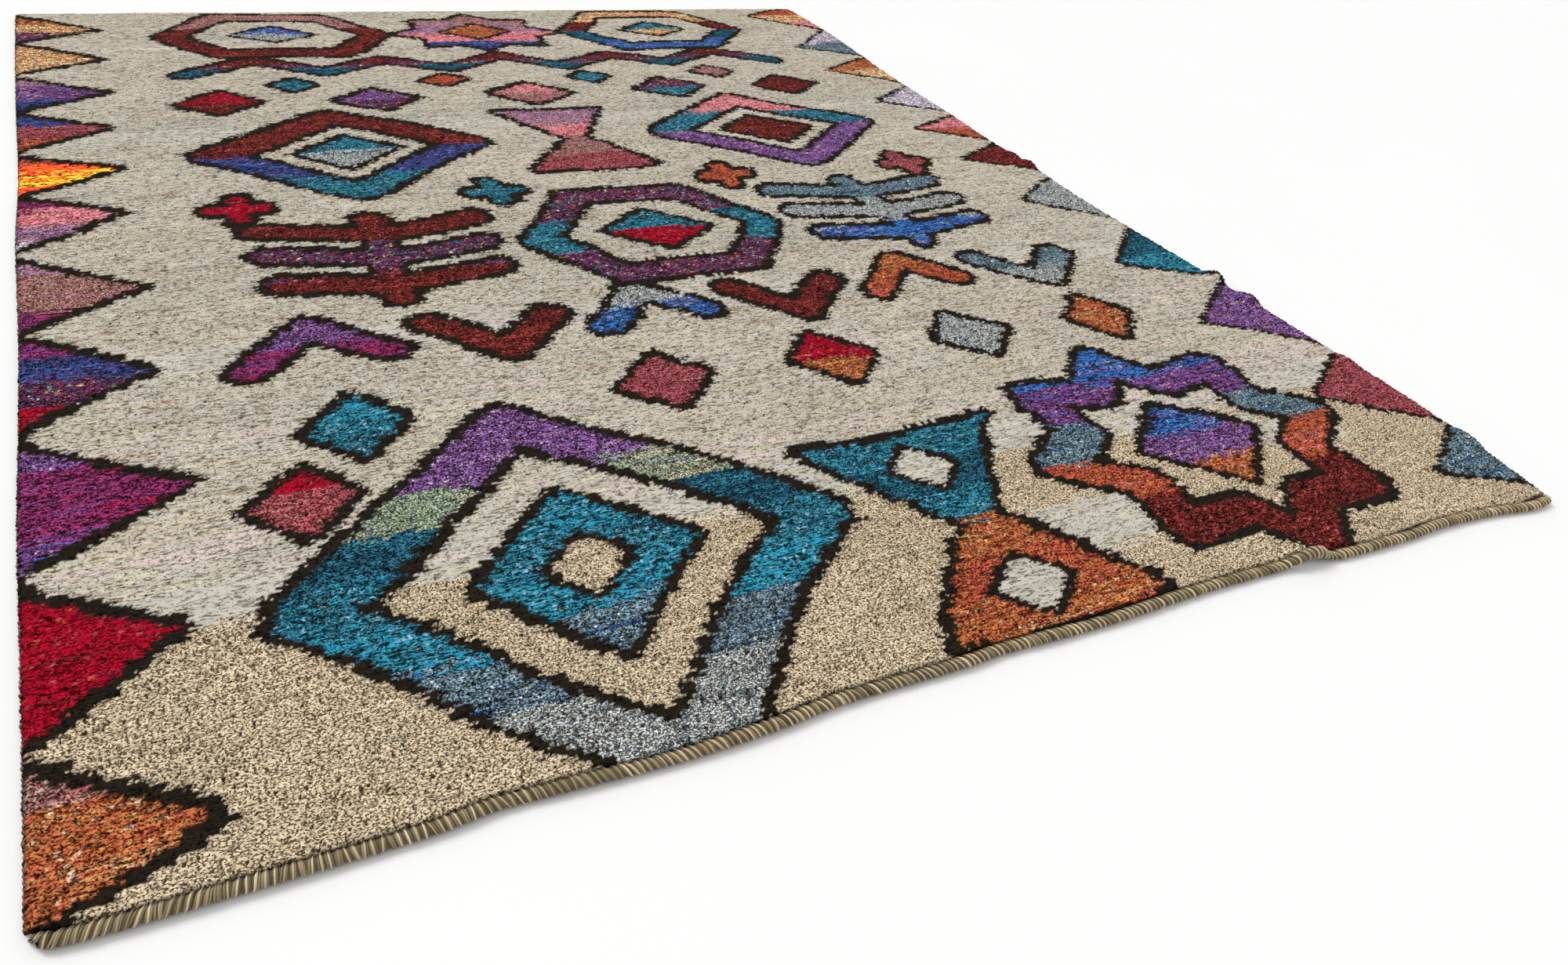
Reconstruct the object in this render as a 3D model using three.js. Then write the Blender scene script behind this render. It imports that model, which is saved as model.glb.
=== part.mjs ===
// Hand-knotted pile rug of recycled yarn, lying flat on a floor.
// Units are millimetres. +X runs across the rug, +Y from its front end to its back end, +Z up.
// The origin is the middle of the rug's bounding rectangle, on the floor under it.
// The sides and the front end are a little wavy, and the right side and the front end lift in places.

import * as THREE from 'three';
import { mergeVertices } from 'three/addons/utils/BufferGeometryUtils.js';

// Driving sizes
const OVERALL_WIDTH = 2540;
const OVERALL_LENGTH = 3260;
const PILE_HEIGHT = 14;
const PILE_UNEVENNESS = 0.9;
const PIECE_GAP = 0.3;
const SIDE_WRAP = { width: 8, height: 8, sides: 8 };
const FRONT_ROLL = { width: 22, height: 19, sides: 12, lump: 1.1, endHeight: 14 };
const BACK_ROLL = { width: 7, height: 8, sides: 8 };
const WIDEST_STEP = 125;
const FRONT_ROLL_STEP = 45;
const CLOSEST_STEP = 14;

// How far the front end stands back from its foremost point, at places across the rug.
const FRONT_SETBACK = [
  { at: -1270, back: 48 },
  { at: -1235, back: 30 },
  { at: -1110, back: 24 },
  { at: -860, back: 24 },
  { at: -787, back: 31 },
  { at: -700, back: 27 },
  { at: -550, back: 20 },
  { at: -420, back: 24 },
  { at: -318, back: 33 },
  { at: -110, back: 32 },
  { at: -54, back: 36 },
  { at: 60, back: 32 },
  { at: 180, back: 31 },
  { at: 315, back: 36 },
  { at: 455, back: 36 },
  { at: 595, back: 29 },
  { at: 663, back: 21 },
  { at: 820, back: 18 },
  { at: 912, back: 22 },
  { at: 997, back: 19 },
  { at: 1078, back: 11 },
  { at: 1157, back: 0 },
  { at: 1220, back: 6 },
];

// How far each side stands in from its outermost point, at places along the rug.
const LEFT_INSET = [
  { at: -1630, back: 3 },
  { at: -1440, back: 4 },
  { at: -1150, back: 2 },
  { at: -870, back: 0 },
  { at: -600, back: 3 },
  { at: -300, back: 4 },
  { at: 90, back: 1 },
  { at: 400, back: 7 },
  { at: 800, back: 4 },
  { at: 1250, back: 3 },
  { at: 1630, back: 5 },
];
const RIGHT_INSET = [
  { at: -1630, back: 58 },
  { at: -1500, back: 39 },
  { at: -1350, back: 22 },
  { at: -1150, back: 14 },
  { at: -900, back: 22 },
  { at: -600, back: 25 },
  { at: -400, back: 34 },
  { at: -190, back: 42 },
  { at: 0, back: 35 },
  { at: 260, back: 36 },
  { at: 510, back: 30 },
  { at: 810, back: 27 },
  { at: 1045, back: 13 },
  { at: 1310, back: 0 },
  { at: 1630, back: 5 },
];

// Small waves in which the right side lifts off the floor, and the tuck in the front end.
const RIGHT_LIFTS = [
  { at: 122, half: 46, reach: 90, rise: 6 },
  { at: 50, half: 46, reach: 120, rise: 11 },
  { at: -690, half: 46, reach: 130, rise: 17 },
  { at: -805, half: 52, reach: 130, rise: 13 },
  { at: -1098, half: 46, reach: 90, rise: 5 },
  { at: -1414, half: 62, reach: 120, rise: 8 },
];
const FRONT_LIFT = { at: 583, half: 66, reach: 210, rise: 11 };
const WRAP_EXTRA_RISE = 0.4;
const TUCK_SWELL = 0.3;
const TUCK_PINCH = { at: 628, half: 24, depth: 0.35 };

// Half sizes, and the widest the pile panel reaches inside its side wraps
const HALF_WIDTH = OVERALL_WIDTH / 2;
const HALF_LENGTH = OVERALL_LENGTH / 2;
const PANEL_HALF = HALF_WIDTH - SIDE_WRAP.width - PIECE_GAP;

// A smooth curve through the rows of a table, each with a place and an amount.
function amountAt(rows, place) {
  const last = rows.length - 1;
  if (place <= rows[0].at) return rows[0].back;
  if (place >= rows[last].at) return rows[last].back;
  const upper = rows.findIndex((row) => row.at > place);
  const lower = upper - 1;
  const span = rows[upper].at - rows[lower].at;
  const t = (place - rows[lower].at) / span;
  const slope = (index) => {
    const before = rows[Math.max(index - 1, 0)];
    const after = rows[Math.min(index + 1, last)];
    return ((after.back - before.back) / (after.at - before.at)) * span;
  };
  const t2 = t * t;
  const t3 = t2 * t;
  return (2 * t3 - 3 * t2 + 1) * rows[lower].back
    + (t3 - 2 * t2 + t) * slope(lower)
    + (3 * t2 - 2 * t3) * rows[upper].back
    + (t3 - t2) * slope(upper);
}

// Edges of the pile panel
const leftEdge = (y) => -PANEL_HALF + amountAt(LEFT_INSET, y);
const rightEdge = (y) => PANEL_HALF - amountAt(RIGHT_INSET, y);
const frontReach = (x) => -HALF_LENGTH + Math.max(amountAt(FRONT_SETBACK, x), 0);
const frontEdge = (x) => frontReach(x) + FRONT_ROLL.width + PIECE_GAP;
const backEdge = () => HALF_LENGTH - BACK_ROLL.width - PIECE_GAP;

// A hump that is full at its place and gone at half its length on each side
function hump(place, { at, half }) {
  const s = (place - at) / half;
  return Math.abs(s) < 1 ? (1 - s * s) ** 2 : 0;
}

// How much of an edge's lift is left at a distance in from that edge
function fade(distance, reach) {
  const t = Math.min(Math.max(distance / reach, 0), 1);
  return (1 - t) ** 2;
}

function rightLift(y, extra = 0) {
  return RIGHT_LIFTS.reduce((sum, wave) => sum + wave.rise * (1 + extra) * hump(y, wave), 0);
}

// Height of the underside over the floor
function liftAt(x, y) {
  const side = RIGHT_LIFTS.reduce(
    (sum, wave) => sum + wave.rise * hump(y, wave) * fade(rightEdge(y) - x, wave.reach),
    0,
  );
  const front = FRONT_LIFT.rise * hump(x, FRONT_LIFT) * fade(y - frontEdge(x), FRONT_LIFT.reach);
  return side + front;
}

// Slow unevenness of the pile's tips
function pileHeightAt(x, y) {
  const across = Math.sin(x / 97 + 1.3 * Math.sin(y / 210));
  const along = Math.sin(y / 71 + 1.1 * Math.sin(x / 160));
  return PILE_HEIGHT + PILE_UNEVENNESS * across * along;
}

// Places from one end to the other: those asked for, with wide spans filled in evenly
function stations(from, to, widest, wanted) {
  const inside = wanted.filter((place) => place > from + CLOSEST_STEP && place < to - CLOSEST_STEP);
  const kept = [from];
  [...inside.sort((a, b) => a - b), to].forEach((place) => {
    const previous = kept[kept.length - 1];
    const span = place - previous;
    if (span < CLOSEST_STEP) return;
    const parts = Math.ceil(span / widest);
    for (let part = 1; part <= parts; part += 1) kept.push(previous + (span * part) / parts);
  });
  return kept;
}

const HUMP_STEPS = [-1, -0.6, -0.25, 0.25, 0.6, 1];
const humpPlaces = ({ at, half }) => [at, ...HUMP_STEPS.map((step) => at + step * half)];
const FADE_STEPS = [0.2, 0.45, 0.75, 1];

const rowPlaces = stations(-HALF_LENGTH, HALF_LENGTH, WIDEST_STEP, [
  ...RIGHT_LIFTS.flatMap(humpPlaces),
  ...FADE_STEPS.map((step) => frontEdge(FRONT_LIFT.at) + step * FRONT_LIFT.reach),
  ...LEFT_INSET.filter((row) => row.back === 0).map((row) => row.at),
  ...RIGHT_INSET.filter((row) => row.back === 0).map((row) => row.at),
]);
const columnPlaces = stations(-PANEL_HALF, PANEL_HALF, WIDEST_STEP, [
  ...FRONT_SETBACK.map((row) => row.at),
  ...humpPlaces(FRONT_LIFT),
  ...FADE_STEPS.map((step) => PANEL_HALF - step * RIGHT_LIFTS[2].reach),
]);

// Moves every corner of a geometry, then closes it by merging the corners that coincide.
function reshape(geometry, move) {
  geometry.deleteAttribute('normal');
  geometry.deleteAttribute('uv');
  const position = geometry.attributes.position;
  const corner = new THREE.Vector3();
  for (let index = 0; index < position.count; index += 1) {
    corner.fromBufferAttribute(position, index);
    move(corner);
    position.setXYZ(index, corner.x, corner.y, corner.z);
  }
  const closed = mergeVertices(geometry, 1e-3);
  closed.computeVertexNormals();
  return closed;
}

// A place on the panel, from its row and column
function panelPlace(columnPlace, rowPlace) {
  const acrossShare = (columnPlace + PANEL_HALF) / (2 * PANEL_HALF);
  const alongShare = (rowPlace + HALF_LENGTH) / (2 * HALF_LENGTH);
  const y = THREE.MathUtils.lerp(frontEdge(columnPlace), backEdge(), alongShare);
  const x = THREE.MathUtils.lerp(leftEdge(y), rightEdge(y), acrossShare);
  return { x, y };
}

function makePanel() {
  const columns = columnPlaces.length - 1;
  const rows = rowPlaces.length - 1;
  return reshape(new THREE.BoxGeometry(1, 1, 1, columns, rows, 1), (corner) => {
    const column = columnPlaces[Math.round((corner.x + 0.5) * columns)];
    const row = rowPlaces[Math.round((corner.y + 0.5) * rows)];
    const isTop = corner.z > 0;
    const { x, y } = panelPlace(column, row);
    corner.set(x, y, liftAt(x, y) + (isTop ? pileHeightAt(x, y) : 0));
  });
}

// A closed roll whose section stands at each of a row of places.
// Each place has a centre x and y, a base height, and the section's width and height there.
function makeRoll(places, sides, alongX) {
  const steps = places.length - 1;
  const flatToFlat = 1 / Math.cos(Math.PI / sides);
  const tube = new THREE.CylinderGeometry(1, 1, 1, sides, steps, false, Math.PI / sides);
  return reshape(tube, (corner) => {
    const place = places[Math.round((corner.y + 0.5) * steps)];
    const out = (corner.x * flatToFlat * place.width) / 2;
    const z = place.base + (place.height * (1 + corner.z * flatToFlat)) / 2;
    if (alongX) corner.set(place.x, place.y - out, z);
    else corner.set(place.x + out, place.y, z);
  });
}

function makeSideWrap(isRight) {
  const columnPlace = isRight ? PANEL_HALF : -PANEL_HALF;
  const outward = (isRight ? 1 : -1) * (PIECE_GAP + SIDE_WRAP.width / 2);
  const places = rowPlaces.map((row) => {
    const { x, y } = panelPlace(columnPlace, row);
    const base = isRight ? rightLift(y, WRAP_EXTRA_RISE) : 0;
    return { x: x + outward, y, base, width: SIDE_WRAP.width, height: SIDE_WRAP.height };
  });
  return makeRoll(places, SIDE_WRAP.sides, false);
}

// The front roll swells and rises at its tuck, and is pinched beside it.
function frontRollHeight(x) {
  const lumps = FRONT_ROLL.lump * Math.sin(x / 37 + 2 * Math.sin(x / 120));
  const shape = 1 + TUCK_SWELL * hump(x, FRONT_LIFT) - TUCK_PINCH.depth * hump(x, TUCK_PINCH);
  return (FRONT_ROLL.height + lumps) * shape;
}

// The roll lies along the panel's front rim, straight from corner to corner as the rim is,
// and reaches past it over the ends of the side wraps.
function makeFrontRoll() {
  const rim = columnPlaces.map((column) => panelPlace(column, -HALF_LENGTH));
  const reach = PIECE_GAP + SIDE_WRAP.width;
  const first = { x: rim[0].x - reach, y: rim[0].y };
  const last = { x: rim[rim.length - 1].x + reach, y: rim[rim.length - 1].y };
  const corners = [first, ...rim, last];
  const places = [first];
  corners.slice(1).forEach((corner, index) => {
    const previous = corners[index];
    const parts = Math.ceil((corner.x - previous.x) / FRONT_ROLL_STEP);
    for (let part = 1; part <= parts; part += 1) {
      places.push({
        x: THREE.MathUtils.lerp(previous.x, corner.x, part / parts),
        y: THREE.MathUtils.lerp(previous.y, corner.y, part / parts),
      });
    }
  });
  return makeRoll(places.map(({ x, y }) => ({
    x,
    y: y - PIECE_GAP - FRONT_ROLL.width / 2,
    base: FRONT_LIFT.rise * hump(x, FRONT_LIFT),
    width: FRONT_ROLL.width,
    height: x === first.x || x === last.x ? FRONT_ROLL.endHeight : frontRollHeight(x),
  })), FRONT_ROLL.sides, true);
}

function makeBackRoll() {
  const start = leftEdge(HALF_LENGTH) - PIECE_GAP - SIDE_WRAP.width;
  const end = rightEdge(HALF_LENGTH) + PIECE_GAP + SIDE_WRAP.width;
  const y = backEdge() + PIECE_GAP + BACK_ROLL.width / 2;
  const places = stations(start, end, WIDEST_STEP, []).map((x) => (
    { x, y, base: 0, width: BACK_ROLL.width, height: BACK_ROLL.height }
  ));
  return makeRoll(places, BACK_ROLL.sides, true);
}

function addPiece(group, name, geometry, color, roughness) {
  const material = new THREE.MeshStandardMaterial({ color, roughness, metalness: 0 });
  const mesh = new THREE.Mesh(geometry, material);
  mesh.name = name;
  group.add(mesh);
}

const group = new THREE.Group();
addPiece(group, 'rug_cloth', makePanel(), 0xd3ccbd, 0.95);
addPiece(group, 'front_binding', makeFrontRoll(), 0xa3937a, 0.9);
addPiece(group, 'back_binding', makeBackRoll(), 0x8d8272, 0.9);
addPiece(group, 'left_selvedge', makeSideWrap(false), 0x7a6650, 0.9);
addPiece(group, 'right_selvedge', makeSideWrap(true), 0x7a6650, 0.9);

export default group;
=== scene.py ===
"""The looks of a hand-knotted rug of recycled yarn, lying flat on a pale studio floor.

The pile is a lumpy skin of yarn ends with gaps between them, over a woven ground. Its corners are closer
together where the camera stands near. Four edges of wound yarn close it. Lengths are in millimetres, and
they turn into metres where a mesh is made. The finishes and the camera count in metres. X runs across the
rug, and Y from its front end to its back end.
"""

import logging
import math
from dataclasses import dataclass, field
from enum import Enum, IntEnum

import bpy
import numpy as np
from mathutils import Matrix, Vector


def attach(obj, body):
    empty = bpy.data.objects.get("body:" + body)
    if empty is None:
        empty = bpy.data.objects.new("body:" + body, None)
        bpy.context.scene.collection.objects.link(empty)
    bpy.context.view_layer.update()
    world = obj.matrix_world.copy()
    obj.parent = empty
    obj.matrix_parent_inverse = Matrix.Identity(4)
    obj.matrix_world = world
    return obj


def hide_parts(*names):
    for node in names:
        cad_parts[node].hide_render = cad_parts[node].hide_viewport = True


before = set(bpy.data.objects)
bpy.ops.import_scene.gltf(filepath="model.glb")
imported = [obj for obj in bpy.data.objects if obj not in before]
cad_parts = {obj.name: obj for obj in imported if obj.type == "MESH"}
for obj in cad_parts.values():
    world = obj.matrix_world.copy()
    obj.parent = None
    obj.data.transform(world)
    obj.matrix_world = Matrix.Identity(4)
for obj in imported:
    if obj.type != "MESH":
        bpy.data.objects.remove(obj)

log = logging.getLogger("rug")

MM = 0.001
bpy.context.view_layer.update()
SEED_GAP = 20
SMALLEST = 1e-6
WHITE = 255
SCREEN_KNEE = 0.04045
SCREEN_SLOPE = 12.92
SCREEN_LIFT = 0.055
SCREEN_POWER = 2.4

Line = tuple[tuple[float, float], ...]
Triple = tuple[float, float, float]
Tint = tuple[float, float, float, float]


class Seed(IntEnum):
    """Where each set of random numbers starts."""

    KNOT_SHIFT = 11
    LAG = 12
    SPIKE = 14
    WAVER = 15
    STEP = 16
    STEP_SHIFT = 17
    CHANGE = 21
    SHADE = 71
    ROW_SHADE = 73
    CLOUD = 77
    EDGE = 200
    PILE = 300


class Chance:
    """Random numbers that depend only on whole-numbered cells, so that every run is alike."""

    WORD = 0xFFFFFFFF
    SEED_STEP = 0x9E3779B1
    SEED_START = 0x1234567
    STIRS = ((0x85EBCA6B, 13), (0xC2B2AE35, 16))
    DRAWS = 3
    DRAW_STEP = 101
    BELL_WIDTH = 1.2
    ROW_SHIFT = 9

    @classmethod
    def even(cls, seed: int, *cells: np.ndarray) -> np.ndarray:
        """Numbers spread evenly from 0 to 1.

        Args:
            seed: Tells one set of numbers from another.
            cells: Whole numbers, alike in shape.

        Returns:
            One number for each cell.
        """
        mixed = np.full(np.shape(cells[0]), (seed * cls.SEED_STEP + cls.SEED_START) & cls.WORD, np.uint64)
        for cell in cells:
            mixed ^= np.asarray(cell).astype(np.int64).astype(np.uint64) & cls.WORD
            for factor, shift in cls.STIRS:
                mixed = (mixed * factor) & cls.WORD
                mixed ^= mixed >> np.uint64(shift)
        return mixed / cls.WORD

    @staticmethod
    def seed_of(seeds: tuple[int, int, int], step: int, number: int) -> int:
        """A seed from its start and its two steps, one for each added colour and one for each yarn."""
        return seeds[0] + seeds[1] * step + seeds[2] * number

    @classmethod
    def bell(cls, seed: int, *cells: np.ndarray) -> np.ndarray:
        """Numbers round 0, mostly from -1 to 1, one for each cell."""
        parts = [cls.even(seed + cls.DRAW_STEP * part, *cells) for part in range(cls.DRAWS)]
        return (sum(parts) - cls.DRAWS / 2) * cls.BELL_WIDTH

    @staticmethod
    def eased(share: np.ndarray) -> np.ndarray:
        """Shares from 0 to 1, with a soft start and a soft end."""
        return share * share * (3 - 2 * share)

    @classmethod
    def along(cls, seed: int, at: np.ndarray, row: np.ndarray) -> np.ndarray:
        """Numbers from 0 to 1 that change softly from one whole place to the next along each row.

        Args:
            seed: Tells one set of numbers from another.
            at: Places along the rows.
            row: The number of each place's row.

        Returns:
            One number for each place.
        """
        cell = np.floor(at)
        share = cls.eased(at - cell)
        return cls.even(seed, cell, row) * (1 - share) + cls.even(seed, cell + 1, row) * share

    @classmethod
    def streak(cls, seed: int, x: np.ndarray, row: np.ndarray, length: float) -> np.ndarray:
        """Numbers from 0 to 1 that change slowly along a row and start afresh on the next one.

        Args:
            seed: Tells one set of numbers from another.
            x: Places along the rows.
            row: The number of each place's row.
            length: How far a number lasts.

        Returns:
            One number for each place.
        """
        return cls.along(seed, x / length + cls.ROW_SHIFT * cls.even(seed + 1, row), row)

    @classmethod
    def cloud(cls, seed: int, x: np.ndarray, y: np.ndarray, size: float) -> np.ndarray:
        """Numbers from 0 to 1 in soft patches of a size.

        Args:
            seed: Tells one set of numbers from another.
            x: Places across the rug.
            y: Places along the rug.
            size: The size.

        Returns:
            One number for each place.
        """
        row = np.floor(y / size)
        share = cls.eased(y / size - row)
        return cls.along(seed, x / size, row) * (1 - share) + cls.along(seed, x / size, row + 1) * share


@dataclass(frozen=True)
class Ripple:
    """A wave that bends from side to side as it runs."""

    length: float
    bend: float
    drift: float

    def at(self, place: np.ndarray, beside: np.ndarray) -> np.ndarray:
        """Its height, from -1 to 1, at places along it and beside it."""
        return np.sin(place / self.length + self.bend * np.sin(beside / self.drift))


@dataclass(frozen=True)
class Wander:
    """A smooth curve through a short table of places and amounts."""

    rows: Line

    def at(self, place: np.ndarray) -> np.ndarray:
        """The amount at each place.

        Args:
            place: Places along the table.

        Returns:
            The amounts, with the first and last ones kept past the ends.
        """
        spots, amounts = np.array(self.rows).T
        place = np.clip(place, spots[0], spots[-1])
        upper = np.clip(np.searchsorted(spots, place, side="right"), 1, len(spots) - 1)
        lower = upper - 1
        span = spots[upper] - spots[lower]
        t = (place - spots[lower]) / span
        index = np.arange(len(spots))
        before = np.maximum(index - 1, 0)
        after = np.minimum(index + 1, len(spots) - 1)
        slope = (amounts[after] - amounts[before]) / (spots[after] - spots[before])
        return (
            (2 * t**3 - 3 * t**2 + 1) * amounts[lower]
            + (t**3 - 2 * t**2 + t) * slope[lower] * span
            + (3 * t**2 - 2 * t**3) * amounts[upper]
            + (t**3 - t**2) * slope[upper] * span
        )


@dataclass(frozen=True)
class Lift:
    """A small wave in which an edge lifts off the floor."""

    at: float
    half: float
    reach: float
    rise: float

    def hump(self, place: np.ndarray) -> np.ndarray:
        """How much of the wave there is at a place along the edge, from 0 to 1."""
        s = np.clip((place - self.at) / self.half, -1, 1)
        return (1 - s * s) ** 2

    def fade(self, distance: np.ndarray) -> np.ndarray:
        """How much of the wave is left at a distance in from the edge, from 0 to 1."""
        return (1 - np.clip(distance / self.reach, 0, 1)) ** 2


@dataclass(frozen=True)
class RugForm:
    """The outline of the rug, its lifted places and the height of its pile."""

    half_width: float = 1270.0
    half_length: float = 1630.0
    pile_height: float = 14.0
    pile_unevenness: float = 0.9
    pile_ripples: tuple[Ripple, Ripple] = (Ripple(97, 1.3, 210), Ripple(71, 1.1, 160))
    gap: float = 0.3
    side_width: float = 8.0
    front_width: float = 21.0
    back_width: float = 7.0
    front_setback: Wander = Wander((
        (-1270, 40), (-1235, 28), (-1110, 24), (-860, 24), (-787, 31), (-700, 27), (-550, 20), (-420, 24),
        (-318, 33), (-110, 32), (-54, 36), (60, 32), (180, 31), (315, 36), (455, 36), (595, 29), (663, 21),
        (820, 18), (912, 22), (997, 19), (1078, 11), (1157, 0), (1220, 6),
    ))
    left_inset: Wander = Wander((
        (-1630, 3), (-1440, 4), (-1150, 2), (-870, 0), (-600, 3), (-300, 4), (90, 1), (400, 7), (800, 4),
        (1250, 3), (1630, 5),
    ))
    right_inset: Wander = Wander((
        (-1630, 58), (-1500, 39), (-1350, 22), (-1150, 14), (-900, 22), (-600, 25), (-400, 34), (-190, 42),
        (0, 35), (260, 36), (510, 30), (810, 27), (1045, 13), (1310, 0), (1630, 5),
    ))
    right_lifts: tuple[Lift, ...] = (
        Lift(122, 46, 90, 6), Lift(50, 46, 120, 11), Lift(-690, 46, 130, 17),
        Lift(-805, 52, 130, 13), Lift(-1098, 46, 90, 5), Lift(-1414, 62, 120, 8),
    )
    front_lift: Lift = Lift(583, 66, 210, 11)
    pinch: Lift = Lift(628, 24, 0, 0.35)
    swell: float = 0.3
    wrap_extra_rise: float = 0.4

    @property
    def panel_half(self) -> float:
        """Half the width of the pile panel inside its side wraps."""
        return self.half_width - self.side_width - self.gap

    @property
    def back_edge(self) -> float:
        """Where the pile panel ends at the back."""
        return self.half_length - self.back_width - self.gap

    def left_edge(self, y: np.ndarray) -> np.ndarray:
        """Where the pile panel starts on the left."""
        return self.left_inset.at(y) - self.panel_half

    def right_edge(self, y: np.ndarray) -> np.ndarray:
        """Where the pile panel ends on the right."""
        return self.panel_half - self.right_inset.at(y)

    def front_edge(self, x: np.ndarray) -> np.ndarray:
        """Where the pile panel starts at the front."""
        setback = np.maximum(self.front_setback.at(x), 0)
        return setback - self.half_length + self.front_width + self.gap

    def side_rise(self, y: np.ndarray) -> np.ndarray:
        """How far the right rim is off the floor."""
        return sum(lift.rise * lift.hump(y) for lift in self.right_lifts)

    def front_rise(self, x: np.ndarray) -> np.ndarray:
        """How far the front rim is off the floor."""
        return self.front_lift.rise * self.front_lift.hump(x)

    def underside(self, x: np.ndarray, y: np.ndarray) -> np.ndarray:
        """How far the rug's underside is off the floor.

        Args:
            x: Places across the rug.
            y: Places along the rug.

        Returns:
            Heights over the floor.
        """
        inward = self.right_edge(y) - x
        side = sum(lift.rise * lift.hump(y) * lift.fade(inward) for lift in self.right_lifts)
        return side + self.front_rise(x) * self.front_lift.fade(y - self.front_edge(x))

    def pile_at(self, x: np.ndarray, y: np.ndarray) -> np.ndarray:
        """Height of the pile's tips over the underside."""
        across, along = self.pile_ripples
        return self.pile_height + self.pile_unevenness * across.at(x, y) * along.at(y, x)

    def place(self, across: np.ndarray, along: np.ndarray) -> tuple[np.ndarray, np.ndarray]:
        """A place on the panel from its shares of the width and the length.

        Args:
            across: 0 at the left rim and 1 at the right rim.
            along: 0 at the front rim and 1 at the back rim.

        Returns:
            Its x and its y.
        """
        front = self.front_edge((2 * across - 1) * self.panel_half)
        y = front + (self.back_edge - front) * along
        left = self.left_edge(y)
        return left + (self.right_edge(y) - left) * across, y


@dataclass(frozen=True)
class PhotoCamera:
    """The camera, by its place in metres and how it is turned, in degrees."""

    place: Triple = (-1.0209, -2.4819, 1.1461)
    heading: float = 32.035
    tilt_down: float = 35.303
    roll: float = 8.3575
    lens: float = 27.07
    sensor: float = 36.0
    image_width: float = 2000.0
    nearest: float = 0.01

    def axes(self) -> tuple[Vector, Vector, Vector]:
        """The directions to the right, upwards and ahead, as the camera sees them.

        Returns:
            The three directions, each one long.
        """
        heading, tilt, roll = (math.radians(turn) for turn in (self.heading, self.tilt_down, self.roll))
        level = math.cos(tilt)
        ahead = Vector((math.sin(heading) * level, math.cos(heading) * level, -math.sin(tilt)))
        right = Vector((math.cos(heading), -math.sin(heading), 0))
        up = right.cross(ahead)
        turned_right = right * math.cos(roll) + up * math.sin(roll)
        turned_up = up * math.cos(roll) - right * math.sin(roll)
        return turned_right, turned_up, ahead

    def scale_at(self, x: np.ndarray, y: np.ndarray) -> np.ndarray:
        """Pixels for each millimetre of a surface near the floor that faces the camera.

        Args:
            x: Places across the rug.
            y: Places along the rug.

        Returns:
            How many pixels at each place.
        """
        ahead = self.axes()[2]
        depth = (x * MM - self.place[0]) * ahead.x + (y * MM - self.place[1]) * ahead.y
        depth -= self.place[2] * ahead.z
        return self.image_width * self.lens / self.sensor / (depth / MM)

    def build(self) -> None:
        """Makes the camera and gives it to the scene."""
        data = bpy.data.cameras.new("photo_camera")
        data.lens = self.lens
        data.sensor_width = self.sensor
        data.clip_start = self.nearest
        camera = bpy.data.objects.new("photo_camera", data)
        right, up, ahead = self.axes()
        turn = Matrix((right, up, -ahead)).transposed()
        camera.matrix_world = Matrix.Translation(self.place) @ turn.to_4x4()
        bpy.context.collection.objects.link(camera)
        bpy.context.scene.camera = camera


class Dye(Enum):
    """Yarn colours as a screen shows them: red, green and blue from 0 to 255."""

    IVORY = (182, 176, 162)
    CREAM = (186, 181, 170)
    OAT = (187, 176, 153)
    STONE = (168, 160, 144)
    DRAB = (140, 122, 102)
    AUBURN = (152, 98, 68)
    STRAW = (200, 194, 160)
    BLUSH = (202, 182, 176)
    CAMEL = (225, 206, 175)
    TAN = (200, 178, 144)
    BARK = (32, 27, 20)
    COFFEE = (42, 31, 23)
    TEAL = (36, 98, 114)
    TURQUOISE = (26, 98, 118)
    PETROL = (30, 76, 96)
    INK = (10, 44, 64)
    BLUE = (36, 76, 132)
    NAVY = (44, 48, 92)
    SLATE = (108, 132, 146)
    FROST = (206, 214, 216)
    SILVER = (222, 226, 226)
    MAROON = (86, 28, 26)
    BRICK = (132, 50, 38)
    CRIMSON = (146, 5, 32)
    RUST = (162, 92, 53)
    CORAL = (168, 78, 56)
    ORANGE = (232, 76, 34)
    MUSTARD = (186, 134, 70)
    YELLOW = (230, 172, 44)
    ROSE = (160, 76, 86)
    PINK = (200, 120, 128)
    DUSTY = (166, 122, 114)
    MAGENTA = (108, 34, 76)
    VIOLET = (88, 54, 104)
    PURPLE = (112, 76, 130)
    PLUM = (84, 40, 74)
    MAUVE = (160, 116, 140)
    LILAC = (160, 150, 168)
    SAND = (168, 126, 84)
    MINT = (158, 178, 150)
    KHAKI = (218, 198, 160)
    OLIVE = (194, 174, 137)
    UMBER = (162, 144, 110)
    PEAT = (112, 98, 74)

    @property
    def linear(self) -> np.ndarray:
        """The colour as light, the way a renderer counts it.

        Returns:
            Red, green and blue, from 0 to 1.
        """
        share = np.array(self.value) / WHITE
        bright = ((share + SCREEN_LIFT) / (1 + SCREEN_LIFT)) ** SCREEN_POWER
        return np.where(share <= SCREEN_KNEE, share / SCREEN_SLOPE, bright)


@dataclass(frozen=True)
class Recipe:
    """A yarn of one main colour, with shares of others in stretches of a row and in single knots.

    Uneven is how much its ends differ in shade and lively how much in height. Gaps is how open the pile is,
    and grain how much the finish varies its tone.
    """

    main: Dye
    streaks: tuple[tuple[Dye, float], ...] = ()
    flecks: tuple[tuple[Dye, float], ...] = ()
    uneven: float = 0.1
    gaps: float = 0.1
    lively: float = 1.0
    grain: float = 1.05


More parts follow.
